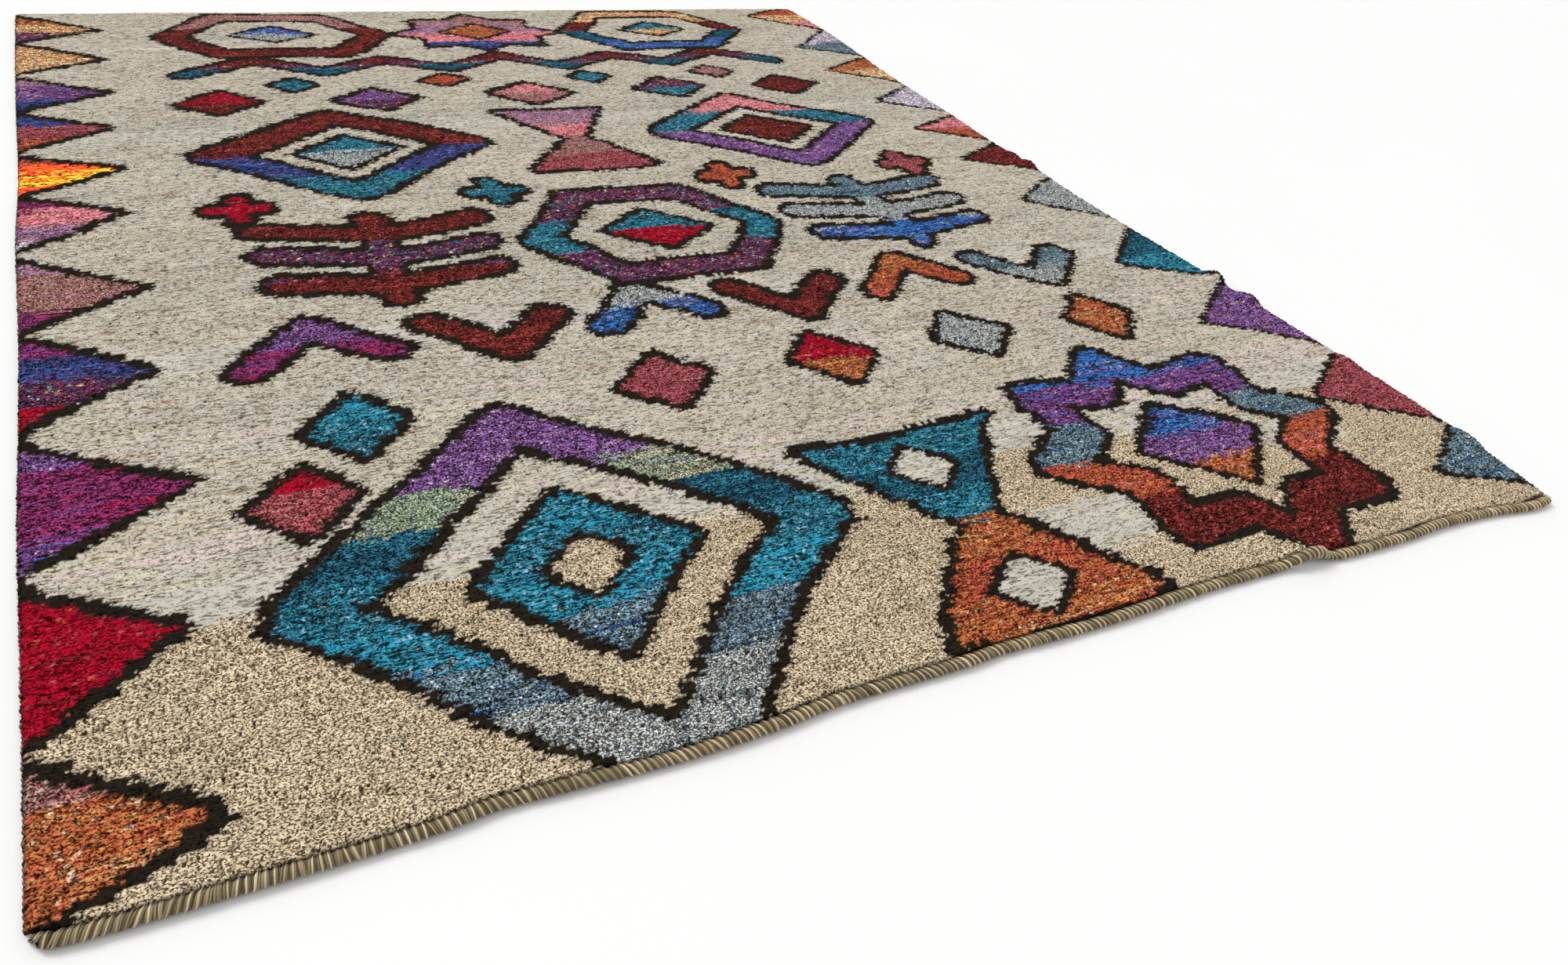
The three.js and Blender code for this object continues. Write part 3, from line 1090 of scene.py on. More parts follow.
    def colours(self, x: np.ndarray, y: np.ndarray, yarns: np.ndarray) -> np.ndarray:
        """The colour of the yarn end at each place.

        Args:
            x: Places across the rug.
            y: Places along the rug.
            yarns: The number of each place's yarn.

        Returns:
            Red, green and blue as light, a row for each place.
        """
        row = np.floor(y / self.loom.thread_pitch)
        cells = (np.floor(x / self.loom.fleck_pitch), np.floor(y / self.loom.fleck_pitch))
        colours = np.zeros((len(x), 3))
        for yarn, number in NUMBER.items():
            own = np.flatnonzero(yarns == number)
            mixed = self.blend(yarn.value, number, x[own], row[own], (cells[0][own], cells[1][own]))
            place = (np.round(x[own] * self.shade_cells), np.round(y[own] * self.shade_cells))
            spread = 1 + yarn.value.uneven * Chance.bell(Seed.SHADE, *place)
            level = Chance.streak(Seed.ROW_SHADE, x[own], row[own], self.row_shade_run)
            spread *= 1 - self.row_shade / 2 + self.row_shade * level
            colours[own] = mixed * np.clip(spread, *self.shade_limits)[:, None]
        level = Chance.cloud(Seed.CLOUD, x, y, self.cloud_size)
        return colours * (1 - self.cloud_shade / 2 + self.cloud_shade * level)[:, None]

    def blend(self, recipe: Recipe, number: int, x: np.ndarray, row: np.ndarray,
              cells: tuple[np.ndarray, np.ndarray]) -> np.ndarray:
        """One yarn's colours, with its streaks and flecks.

        Args:
            recipe: What it is spun of.
            number: The yarn's number.
            x: Places across the rug.
            row: The number of each place's row.
            cells: The two numbers of the small cell that each place is in.

        Returns:
            Red, green and blue as light, a row for each place.
        """
        mixed = np.tile(recipe.main.linear, (len(x), 1))
        for step, (dye, share) in enumerate(recipe.streaks):
            seed = Chance.seed_of(self.streak_seeds, step, number)
            level = Chance.streak(seed, x, row, self.streak_run)
            level = level + self.streak_speckle * (Chance.even(seed + 2, *cells) - 0.5)
            edge = self.streak_edge[0] + self.streak_edge[1] * share
            weight = np.clip((level - 1 + share) / edge, 0, 1)[:, None] * self.strength
            mixed = mixed * (1 - weight) + dye.linear * weight
        for step, (dye, share) in enumerate(recipe.flecks):
            chosen = Chance.even(Chance.seed_of(self.fleck_seeds, step, number), *cells) < share
            mixed[chosen] = mixed[chosen] * (1 - self.strength) + dye.linear * self.strength
        return mixed


class Stock:
    """Collects corners, colours and faces, and makes one piece of them."""

    MAP_MARGIN = 0.005

    def __init__(self) -> None:
        """Starts empty."""
        self.corners: list[np.ndarray] = []
        self.colours: list[np.ndarray] = []
        self.faces: list[np.ndarray] = []
        self.looks: list[np.ndarray] = []
        self.count = 0

    def add(self, corners: np.ndarray, colours: np.ndarray, faces: list[np.ndarray],
            looks: np.ndarray | None = None) -> None:
        """Adds a mesh.

        Args:
            corners: A row of x, y and z in millimetres for each corner.
            colours: A row of red, green and blue as light for each corner.
            faces: Tables of corner numbers, one table for each number of corners in a face.
            looks: How open and how uneven in tone the pile is, a row for each corner, or None for no pile.
        """
        self.corners.append(corners)
        self.colours.append(colours)
        self.looks.append(np.zeros((len(corners), 2)) if looks is None else looks)
        self.faces.extend(table + self.count for table in faces)
        self.count += len(corners)

    def add_copies(self, corners: np.ndarray, colours: np.ndarray, faces: list[np.ndarray]) -> None:
        """Adds many copies of one form.

        Args:
            corners: The corners of each copy, as copies by corners by 3.
            colours: Their colours, of the same shape.
            faces: The faces of one copy.
        """
        copies, size = corners.shape[:2]
        starts = np.arange(copies) * size
        tables = [(starts[:, None, None] + table[None]).reshape(-1, table.shape[1]) for table in faces]
        self.add(corners.reshape(-1, 3), colours.reshape(-1, 3), tables)

    def triangles(self) -> int:
        """How many triangles the faces make."""
        return sum(len(table) * (table.shape[1] - 2) for table in self.faces)

    def piece(self, name: str, material: bpy.types.Material) -> bpy.types.Object:
        """Makes the mesh, with a flat map seen from above, and puts it in the scene.

        Args:
            name: The piece's name.
            material: Its finish.

        Returns:
            The new object.
        """
        corners = np.concatenate(self.corners) * MM
        mesh = bpy.data.meshes.new(name)
        mesh.vertices.add(len(corners))
        mesh.vertices.foreach_set("co", corners.astype(np.float32).ravel())
        loops = np.concatenate([table.ravel() for table in self.faces]).astype(np.int32)
        sizes = np.concatenate([np.full(len(table), table.shape[1]) for table in self.faces])
        starts = np.concatenate(([0], np.cumsum(sizes)[:-1])).astype(np.int32)
        mesh.loops.add(len(loops))
        mesh.loops.foreach_set("vertex_index", loops)
        mesh.polygons.add(len(sizes))
        mesh.polygons.foreach_set("loop_start", starts)
        mesh.polygons.foreach_set("use_smooth", np.ones(len(sizes), bool))
        colours = np.ones((len(corners), 4), np.float32)
        colours[:, :3] = np.concatenate(self.colours)
        layer = mesh.color_attributes.new("yarn", "FLOAT_COLOR", "POINT")
        layer.data.foreach_set("color", colours.ravel())
        looks = np.pad(np.concatenate(self.looks), ((0, 0), (0, 1))).astype(np.float32)
        layer = mesh.attributes.new("looks", "FLOAT_VECTOR", "POINT")
        layer.data.foreach_set("vector", looks.ravel())
        low, high = corners[:, :2].min(axis=0), corners[:, :2].max(axis=0)
        flat = (corners[loops, :2] - low) / (high - low).max()
        flat = self.MAP_MARGIN + (1 - 2 * self.MAP_MARGIN) * flat
        chart = mesh.uv_layers.new(name="OFBake")
        chart.data.foreach_set("uv", flat.astype(np.float32).ravel())
        mesh.update(calc_edges=True)
        mesh.materials.append(material)
        piece = bpy.data.objects.new(name, mesh)
        bpy.context.collection.objects.link(piece)
        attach(piece, "root")
        log.info("%s: %d triangles", name, self.triangles())
        return piece


def slab_faces(rows: int, columns: int, coarse: int) -> list[np.ndarray]:
    """The faces of a closed slab whose top is a lattice of corners, with a coarser underside.

    Args:
        rows: Rows of corners.
        columns: Corners in a row.
        coarse: How many cells of the top one cell of the underside spans.

    Returns:
        Tables of corner numbers. The underside's corners follow the top's, in the same order.
    """
    numbers = np.arange(rows * columns).reshape(rows, columns)
    top = (numbers[:-1, :-1], numbers[:-1, 1:], numbers[1:, 1:], numbers[1:, :-1])
    rim = np.concatenate([numbers[0, :-1], numbers[:-1, -1], numbers[-1, :0:-1], numbers[:0:-1, 0]])
    after = np.roll(rim, -1)
    below = rows * columns
    walls = np.stack([rim + below, after + below, after, rim], axis=1)
    cells = np.stack([corner.ravel() for corner in top], axis=1)
    return [cells, walls, *coarse_cells(numbers[:, ::-1] + below, coarse)]


def coarse_cells(numbers: np.ndarray, step: int) -> list[np.ndarray]:
    """Wide cells of a lattice, whose sides on its rim keep every corner of the rim.

    Args:
        numbers: The lattice of corner numbers.
        step: How many corners a cell spans.

    Returns:
        The cells, in tables of one row each where they have extra corners.
    """
    last_row, last_column = numbers.shape[0] - 1, numbers.shape[1] - 1
    plain: list[tuple[int, ...]] = []
    edged: list[np.ndarray] = []
    for row in range(0, last_row, step):
        for column in range(0, last_column, step):
            low, high = min(row + step, last_row), min(column + step, last_column)
            sides = (
                (numbers[row, column:high], row == 0),
                (numbers[row:low, high], high == last_column),
                (numbers[low, high:column:-1], low == last_row),
                (numbers[low:row:-1, column], column == 0),
            )
            corners = tuple(n for side, kept in sides for n in (side if kept else side[:1]))
            if len(corners) == 4:
                plain.append(corners)
            else:
                edged.append(np.array([corners]))
    return [np.array(plain), *edged]


class Value:
    """A number that varies over a surface; sums and products of values add Math nodes."""

    def __init__(self, work: "NodeWork", socket: bpy.types.NodeSocket) -> None:
        """Keeps the socket and the node tree that it is in."""
        self.work = work
        self.socket = socket

    def _with(self, operation: str, first: "Value | float", second: "Value | float") -> "Value":
        """The result of a Math node on two numbers."""
        result = self.work.add("ShaderNodeMath", {"operation": operation}, {0: first, 1: second})
        return Value(self.work, result)

    def __add__(self, other: "Value | float") -> "Value":
        """This plus another."""
        return self._with("ADD", self, other)

    def __sub__(self, other: "Value | float") -> "Value":
        """This less another."""
        return self._with("SUBTRACT", self, other)

    def __rsub__(self, other: float) -> "Value":
        """A number less this."""
        return self._with("SUBTRACT", other, self)

    def __mul__(self, other: "Value | float") -> "Value":
        """This times another."""
        return self._with("MULTIPLY", self, other)

    def __rpow__(self, other: float) -> "Value":
        """A number to the power of this."""
        return self._with("POWER", other, self)

    def under(self, limit: "Value | float") -> "Value":
        """This, kept down to a limit."""
        return self._with("MINIMUM", self, limit)

    def held(self) -> "Value":
        """This, kept between 0 and 1."""
        settings = {"operation": "ADD", "use_clamp": True}
        return Value(self.work, self.work.add("ShaderNodeMath", settings, {0: self, 1: 0.0}))


@dataclass(frozen=True)
class PileFinish:
    """Matt pile in the colours that its corners keep, lighter and darker from end to end.

    Open pile shows spots with painted shade in the cracks between its tufts, and dense pile shows lines
    along its rows.
    Tufts, strands, ends and fibres have sizes in metres, and stretches that make them long. A steep is how
    fast a mark sets in, and a from is where it starts.
    """

    name: str = "pile_yarn"
    roughness: float = 0.9
    roughness_spread: float = 0.1
    shine: float = 0.03
    relief: float = 0.0013
    fibre: float = 0.0011
    fibre_stretch: Triple = (0.45, 1.0, 0.6)
    end_size: float = 0.0022
    end_stretch: Triple = (0.7, 1.0, 0.5)
    strand: float = 0.0036
    strand_stretch: Triple = (0.3, 1.0, 0.4)
    tuft: float = 0.0036
    tuft_stretch: Triple = (0.75, 1.0, 0.3)
    tuft_bend: float = 0.008
    tuft_bend_scale: float = 120.0
    cloud_scale: float = 300.0
    cloud_stretch: Triple = (0.8, 1.0, 0.5)
    contrast: float = 10.0
    light_limit: float = 0.32
    least_grain: float = 0.06
    spot_steep: float = 6.0
    spot_tuft: float = 0.9
    spot_end: float = 3.0
    line_fade: float = 5.0
    line_from: float = 0.45
    line_depth: float = 8.0
    crack_reach: float = 0.21
    crack_steep: float = 11.0
    crack_shade: float = 0.86
    crack_contrast: float = 8.0
    crack_from: float = 0.64
    crack_open: float = 1.35
    crack_depth: float = 0.7
    dome: float = 3.6
    dome_steep: float = 5.0
    dome_height: float = 0.6
    fibre_height: float = 0.3
    end_height: float = 0.6
    # Pale fluff with painted sheen, mixed into the lightest yarn ends.
    fluff_and_sheen: float = 0.07
    fluff_and_sheen_from: float = 0.58
    fluff_and_sheen_steep: float = 6.0
    fluff_and_sheen_tint: Tint = (0.72, 0.7, 0.66, 1.0)
    light_tint: Tint = (1.0, 1.0, 1.0, 1.0)
    shadow_tint: Tint = (0.88, 0.74, 0.54, 1.0)

    def build(self) -> bpy.types.Material:
        """Makes the material.

        Returns:
            The material, with yarn ends and fibres in its colour, roughness and relief.
        """
        work = NodeWork(self.name, self.shine)
        place = work.place()
        looks = work.add("ShaderNodeAttribute", {"attribute_name": "looks"}, {}, "Vector")
        opened = Value(work, work.add("ShaderNodeSeparateXYZ", {}, {"Vector": looks}, "X"))
        grain = Value(work, work.add("ShaderNodeSeparateXYZ", {}, {"Vector": looks}, "Y"))
        fibres = work.noise(work.stretched(place, self.fibre_stretch), 1 / self.fibre)
        ends = work.noise(work.stretched(place, self.end_stretch), 1 / self.end_size, detail=1.0)
        strands = work.noise(work.stretched(place, self.strand_stretch), 1 / self.strand, detail=1.0)
        edge, own = self.tufts(work, place)
        where = work.noise(work.stretched(place, self.cloud_stretch), self.cloud_scale, detail=1.0)
        here = ((where - self.crack_from + opened * self.crack_open) * self.crack_contrast).held()
        crack = ((self.crack_reach - edge) * self.crack_steep).held() * here
        spots = (own - 0.5) * self.spot_tuft + (ends - 0.5) * self.spot_end
        spots = spots * (opened * self.spot_steep).held()
        lines = (strands - self.line_from) * self.line_depth * (1 - opened * self.line_fade).held()
        swing = (spots + lines + (fibres - 0.5)).under(grain * self.light_limit + self.least_grain)
        # Painted shade: crack_shade darkens the cracks between the tufts.
        shade = self.contrast ** (swing * (grain + self.least_grain)) * (1 - crack * self.crack_shade)
        # Pale fluff and painted sheen on the lightest yarn ends.
        fluff_and_sheen = ((ends - self.fluff_and_sheen_from) * self.fluff_and_sheen_steep).held() * grain * self.fluff_and_sheen
        work.feed(work.shader.inputs["Base Color"], self.tinted(work, shade, fluff_and_sheen))
        work.roughen(fibres, self.roughness, self.roughness_spread)
        domes = (edge * self.dome).held() * (opened * self.dome_steep).held()
        height = fibres * self.fibre_height + ends * self.end_height + domes * self.dome_height
        work.bump(height - crack * self.crack_depth, self.relief)
        return work.material

    def tufts(self, work: "NodeWork", place: bpy.types.NodeSocket) -> tuple[Value, Value]:
        """Parts the pile into tufts with bent edges.

        Args:
            work: The node tree.
            place: The place on the surface.

        Returns:
            How far each place is from its tuft's edge, and a number from 0 to 1 of the tuft's own.
        """
        inputs = {"Vector": place, "Scale": self.tuft_bend_scale, "Detail": 1.0}
        shift = work.add("ShaderNodeTexNoise", {}, inputs, "Color")
        inputs = {0: shift, 1: (self.tuft_bend,) * 3, 2: place}
        moved = work.add("ShaderNodeVectorMath", {"operation": "MULTIPLY_ADD"}, inputs)
        cells = {"Vector": work.stretched(moved, self.tuft_stretch), "Scale": 1 / self.tuft}
        edge = work.add("ShaderNodeTexVoronoi", {"feature": "DISTANCE_TO_EDGE"}, cells, "Distance")
        colour = work.add("ShaderNodeTexVoronoi", {"feature": "F1"}, cells, "Color")
        own = work.add("ShaderNodeSeparateColor", {}, {"Color": colour}, "Red")
        return Value(work, edge), Value(work, own)

    def tinted(self, work: "NodeWork", shade: Value, fluff_and_sheen: Value) -> bpy.types.NodeSocket:
        """The yarn's colour, warmer where it is dark or in painted shade, with pale fluff and painted sheen
        on top.

        Args:
            work: The node tree.
            shade: How light it is.
            fluff_and_sheen: The share of pale fluff and painted sheen.

        Returns:
            The colour.
        """
        yarn = work.add("ShaderNodeAttribute", {"attribute_name": "yarn"}, {}, "Color")
        # Painted shade and low tones are tinted warm by shadow_tint.
        warmth = work.mixed(shade.held(), self.shadow_tint, self.light_tint)
        inputs = {0: work.shaded(yarn, shade), 1: warmth}
        tinted = work.add("ShaderNodeVectorMath", {"operation": "MULTIPLY"}, inputs)
        return work.mixed(fluff_and_sheen, tinted, self.fluff_and_sheen_tint)


class NodeWork:
    """The node tree of one material, with its Principled shader."""

    def __init__(self, name: str, shine: float) -> None:
        """Makes the material.

        Args:
            name: Its name.
            shine: How much it mirrors.
        """
        self.material = bpy.data.materials.new(name)
        self.material.use_nodes = True
        self.tree = self.material.node_tree
        self.shader = self.tree.nodes["Principled BSDF"]
        self.shader.inputs["Specular IOR Level"].default_value = shine

    def add(self, kind: str, settings: dict, inputs: dict, output: int | str = 0) -> bpy.types.NodeSocket:
        """Adds a node.

        Args:
            kind: The node's type.
            settings: Its own settings, which are set first.
            inputs: For its sockets, by name or number, a plain value, a Value or another socket.
            output: Which of its outputs is wanted.

        Returns:
            That output.
        """
        node = self.tree.nodes.new(kind)
        for name, setting in settings.items():
            setattr(node, name, setting)
        for name, given in inputs.items():
            self.feed(node.inputs[name], given)
        return node.outputs[output]

    def feed(self, socket: bpy.types.NodeSocket, given: object) -> None:
        """Gives a socket a plain value, a Value or another socket.

        Args:
            socket: A node's input.
            given: What goes into it.
        """
        if isinstance(given, Value):
            given = given.socket
        if isinstance(given, bpy.types.NodeSocket):
            self.tree.links.new(given, socket)
        else:
            socket.default_value = given

    def noise(self, place: bpy.types.NodeSocket, scale: float, detail: float = 2.0) -> Value:
        """Cloudy numbers round a half."""
        inputs = {"Vector": place, "Scale": scale, "Detail": detail}
        return Value(self, self.add("ShaderNodeTexNoise", {"noise_dimensions": "3D"}, inputs))

    def place(self) -> bpy.types.NodeSocket:
        """The place on the surface, in metres."""
        return self.add("ShaderNodeTexCoord", {}, {}, "Object")

    def stretched(self, place: bpy.types.NodeSocket, scale: Triple) -> bpy.types.NodeSocket:
        """A place with its three lengths multiplied."""
        return self.add("ShaderNodeVectorMath", {"operation": "MULTIPLY"}, {0: place, 1: scale})

    def shaded(self, colour: bpy.types.NodeSocket, shade: Value) -> bpy.types.NodeSocket:
        """A colour multiplied by a number."""
        return self.add("ShaderNodeVectorMath", {"operation": "SCALE"}, {0: colour, "Scale": shade})

    def mixed(self, share: Value, first: object, second: object) -> bpy.types.NodeSocket:
        """A colour between two, by the second one's share."""
        return self.add("ShaderNodeMix", {"data_type": "RGBA"}, {0: share, 6: first, 7: second}, 2)

    def roughen(self, noise: Value, middle: float, spread: float) -> None:
        """Gives the shader a roughness that varies round a middle."""
        self.feed(self.shader.inputs["Roughness"], noise * spread + (middle - spread / 2))

    def bump(self, height: Value, depth: float) -> None:
        """Raises the surface by a height, with a depth in metres."""
        inputs = {"Height": height, "Distance": depth, "Strength": 1.0}
        self.feed(self.shader.inputs["Normal"], self.add("ShaderNodeBump", {}, inputs))


@dataclass(frozen=True)
class YarnFinish:
    """Matt, fibrous yarn in the colours that its piece's corners keep, with its sizes in metres."""

    name: str = "overcast_yarn"
    roughness: float = 0.86
    roughness_spread: float = 0.12
    shine: float = 0.08
    fuzz: float = 0.04
    fuzz_roughness: float = 0.6
    fibre: float = 0.0007
    fibre_stretch: Triple = (0.45, 1.0, 1.0)
    relief: float = 0.0004
    mottle: float = 0.25

    def build(self) -> bpy.types.Material:
        """Makes the material.

        Returns:
            The material, with fibres in its colour, roughness and relief.
        """
        work = NodeWork(self.name, self.shine)
        fibres = work.noise(work.stretched(work.place(), self.fibre_stretch), 1 / self.fibre, detail=3.0)
        colour = work.add("ShaderNodeAttribute", {"attribute_name": "yarn"}, {}, "Color")
        mottled = work.shaded(colour, fibres * self.mottle * 2 + (1 - self.mottle))
        work.feed(work.shader.inputs["Base Color"], mottled)
        work.roughen(fibres, self.roughness, self.roughness_spread)
        work.bump(fibres, self.relief)
        work.shader.inputs["Sheen Weight"].default_value = self.fuzz
        work.shader.inputs["Sheen Roughness"].default_value = self.fuzz_roughness
        return work.material


@dataclass(frozen=True)
class FloorFinish:
    """A plain pale studio floor, with a trace of cloudiness."""

    name: str = "pale_floor"
    tint: Triple = (0.86, 0.86, 0.855)
    tint_spread: float = 0.02
    roughness: float = 0.65
    roughness_spread: float = 0.1
    shine: float = 0.2
    cloud_scale: float = 1.3

    def build(self) -> bpy.types.Material:
        """Makes the material, cloudy in its colour and roughness.

        Returns:
            The material.
        """
        work = NodeWork(self.name, self.shine)
        cloud = work.noise(work.place(), self.cloud_scale)
        work.roughen(cloud, self.roughness, self.roughness_spread)
        tint = work.add("ShaderNodeRGB", {}, {})
        tint.default_value = (*self.tint, 1.0)
        shade = cloud * self.tint_spread + (1 - self.tint_spread / 2)
        work.feed(work.shader.inputs["Base Color"], work.shaded(tint, shade))
        return work.material


@dataclass(frozen=True)
class WovenGround:
    """The woven sheet that the knots stand on, in the knots' colours darkened with painted shade."""

    form: RugForm
    pattern: Pattern
    columns: int = 90
    rows: int = 116
    coarse: int = 4
    thickness: float = 4.5
    root_shade: float = 0.3
    backing_shade: float = 0.7
    thread_relief: float = 0.5

    def build(self, material: bpy.types.Material) -> bpy.types.Object:
        """Makes the closed sheet.

        Args:
            material: Its finish.

        Returns:
            The piece.
        """
        across, along = np.meshgrid(np.linspace(0, 1, self.columns + 1), np.linspace(0, 1, self.rows + 1))
        x, y = self.form.place(across.ravel(), along.ravel())
        low = self.form.underside(x, y)
        # Painted shade: the ground takes the pattern's colours darkened by root_shade, as it lies in the
        # pile's shade.
        colours = self.pattern.colours(x, y, self.pattern.paint(x, y)) * self.root_shade
        weave = np.where(np.indices(across.shape).sum(axis=0).ravel() % 2, self.thread_relief, 0.0)
        top = np.stack([x, y, low + self.thickness - weave], axis=1)
        bottom = np.stack([x, y, low], axis=1)
        backing = np.tile(Dye.OAT.linear * self.backing_shade, (len(x), 1))
        stock = Stock()
        faces = slab_faces(self.rows + 1, self.columns + 1, self.coarse)
        stock.add(np.concatenate([top, bottom]), np.concatenate([colours, backing]), faces)
        piece = stock.piece("woven_ground", material)
        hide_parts("rug_cloth")
        return piece


@dataclass(frozen=True)
class Pile:
    """The dense pile as one lumpy skin of yarn ends with gaps in it, in strips from front to back.

    Its corners are closer together where the camera is near. The survey is how many places across and along
    are looked at to plan them. Where they are far apart, gaps fade, or they would turn into wide holes.
    """

    form: RugForm
    pattern: Pattern
    camera: PhotoCamera
    names: tuple[str, ...] = ("pile_front", "pile_near", "pile_middle", "pile_far", "pile_back")
    survey: tuple[int, int] = (200, 400)
    fine_pitch: float = 3.04
    coarsening: float = 0.68
    stray: float = 0.4
    foot: float = 4.0
    gap_depth: float = 4.6
    # gap_shade is painted shade in the gaps and on the pile's sides and underside.
    gap_shade: float = 0.24
    gap_fading: float = 0.7
    lively_gaps: float = 0.4
    lump: float = 0.5
    overhang: float = 6.0
    overhang_spread: tuple[float, float] = (0.4, 0.8)
    end_overhang: float = 2.0
    rounding: float = 8.0
    rim_height: float = 0.25
    # rim_shade is painted shade on the rounded rim.
    rim_shade: float = 0.35
    parting_run: float = 42.0
    parting_from: float = 0.91
    parting_open: float = 0.4
    gap_chance: float = 0.3
    parted_chance: float = 1.1
    open_from: float = 0.17
    gap_range: tuple[float, float] = (0.7, 0.5)
    coarse: int = 12

    def pitch_at(self, x: np.ndarray, y: np.ndarray) -> np.ndarray:
        """The wanted distance between corners."""
        return self.fine_pitch / self.camera.scale_at(x, y) ** self.coarsening

    def strips(self) -> list[tuple[np.ndarray, np.ndarray]]:
        """Plans the rows and columns of corners.

        Returns:
            For each strip the shares of the width where its columns lie, and of the length for its rows.
        """
        across, along = (np.linspace(0, 1, count) for count in self.survey)
        x, y = self.form.place(*np.meshgrid(across, along))
        pitch = self.pitch_at(x, y)
        rows = self.counted(np.ptp(y) / pitch.mean(axis=1))
        corners = self.counted((1 / pitch**2).mean(axis=1))
        borders = np.interp(np.linspace(0, corners[-1], len(self.names) + 1), corners, along)
        plans = []
        for front, back in zip(borders, borders[1:]):
            first, last = np.interp((front, back), along, rows)
            own_rows = np.interp(np.linspace(first, last, round(last - first) + 1), rows, along)
            middle = np.argmin(np.abs(along - (front + back) / 2))
            columns = self.counted(np.ptp(x[middle]) / pitch[middle])
            own_columns = np.linspace(0, columns[-1], round(columns[-1]) + 1)
            own_columns = np.interp(own_columns, columns, across)
            plans.append((own_columns, own_rows))
        return plans

    def counted(self, density: np.ndarray) -> np.ndarray:
        """How many there are up to each of an even row of places from 0 to 1."""
        steps = np.cumsum((density[1:] + density[:-1]) / 2)
        return np.concatenate(([0.0], steps)) / (len(density) - 1)

    def build(self, material: bpy.types.Material) -> list[bpy.types.Object]:
        """Makes the pile.

        Args:
            material: The yarn's finish.

        Returns:
            The pieces, one for each strip.
        """
        pieces = []
        for number, (columns, rows) in enumerate(self.strips()):
            stock = self.strip(columns, rows, Seed.PILE + SEED_GAP * number)
            piece = stock.piece(self.names[number], material)
            pieces.append(piece)
        return pieces

    def strip(self, columns: np.ndarray, rows: np.ndarray, seed: int) -> Stock:
        """Makes one strip of the pile.

        Args:
            columns: Where its columns lie, as shares of the width.
            rows: Where its rows lie, as shares of the length.
            seed: Tells its random numbers from those of the other strips.

        Returns:
            Its mesh.
        """
        across, along = (grid.ravel() for grid in np.meshgrid(columns, rows))
        x, y = self.form.place(across, along)
        pitch = self.pitch_at(x, y)
        order = np.arange(len(x))
        side = np.where(across == 0, -1, np.where(across == 1, 1, 0))
        inner = (along > rows[0]) & (along < rows[-1])
        x = x + pitch * self.stray * (2 * Chance.even(seed, order) - 1) * (side == 0)
        least, spread = self.overhang_spread
        x = x + side * self.overhang * (least + spread * Chance.even(seed + 1, order))
        y = y + pitch * self.stray * (2 * Chance.even(seed + 2, order) - 1) * inner
        yarns = self.pattern.paint(x, y)
        colours = self.pattern.colours(x, y, yarns)
        gaps, lively, grain = self.pattern.looks(yarns).T
        shut = 1 - np.clip(self.gap_at(x, y, order, gaps, seed + 3), 0, 1)
        fineness = np.clip(self.fine_pitch / pitch, 0, 1) ** self.gap_fading
        depth = (1 - shut) * fineness
        height = self.form.pile_at(x, y) + self.lump * lively * Chance.bell(seed + 4, order)
        height = height - self.gap_depth * depth * (1 - self.lively_gaps + self.lively_gaps * lively)
        rim = np.minimum(x - self.form.left_edge(y), self.form.right_edge(y) - x) + self.overhang
        ends = np.minimum(y - self.form.front_edge(x), self.form.back_edge - y) + self.end_overhang
        rim = np.clip(np.minimum(rim, ends) / self.rounding, 0, 1)
        round_off = np.sqrt(1 - (1 - rim) ** 2)
        share = self.rim_height + (1 - self.rim_height) * round_off
        low = self.form.underside(x, y)
        top = np.stack([x, y, low + self.foot + (height - self.foot) * share], axis=1)
        bottom = np.stack([x, y, low + self.foot], axis=1)
        # Painted shade: corners in gaps are darkened by gap_shade, the rounded rim by rim_shade, and the
        # underside and sides take gap_shade.
        shade = 1 - (1 - self.gap_shade) * depth * fineness
        shade = shade * (self.rim_shade + (1 - self.rim_shade) * round_off)
        shaded = np.concatenate([colours * shade[:, None], colours * self.gap_shade])
        looks = np.tile(np.stack([gaps, grain], axis=1), (2, 1))
        stock = Stock()
        faces = slab_faces(len(rows), len(columns), self.coarse)
        stock.add(np.concatenate([top, bottom]), shaded, faces, looks)
        return stock

    def gap_at(self, x: np.ndarray, y: np.ndarray, order: np.ndarray, gaps: np.ndarray,
               seed: int) -> np.ndarray:
        """How deep a gap between the yarn ends each corner lies in.

        Args:
            x: Places across the rug.
            y: Places along the rug.
            order: A number for each place.
            gaps: How open the yarn is there.
            seed: Tells this set of random numbers from others.

        Returns:
            0 on top of the pile, and 1 or more in a gap.
        """
        row = np.floor(y / self.pattern.loom.thread_pitch)
        level = Chance.streak(seed, x, row, self.parting_run)
        parted = level > self.parting_from - self.parting_open * gaps
        chance = gaps * (self.gap_chance + self.parted_chance * parted)
        chance = chance + np.maximum(gaps - self.open_from, 0)
        drawn = Chance.even(seed + 1, order)
        least, spread = self.gap_range
        depth = least + spread * drawn / np.maximum(chance, SMALLEST)
        return np.where(drawn < chance, depth, 0.0)


class Side(Enum):
    """The four edges: the direction along the edge, the way out of it, its node and its finish's slot."""

    FRONT = ((1, 0), (0, -1), "front_binding", "khaki_overcast")
    BACK = ((1, 0), (0, 1), "back_binding", "thin_overcast")
    LEFT = ((0, 1), (-1, 0), "left_selvedge", "wrapped_side")
    RIGHT = ((0, 1), (1, 0), "right_selvedge", "wrapped_side")

    def __init__(self, along: tuple[int, int], out: tuple[int, int], node: str, slot: str) -> None:
        """Gives the four their names.

        Args:
            along: The direction along the edge.
            out: The way out of it.
            node: The node that it finishes.
            slot: Its finish's slot.
        """
        self.along = along
        self.out = out
        self.node = node
        self.slot = slot

    @property
    def seed(self) -> int:
        """Where the seeds of the edge's random numbers start."""
        return Seed.EDGE + SEED_GAP * list(Side).index(self)


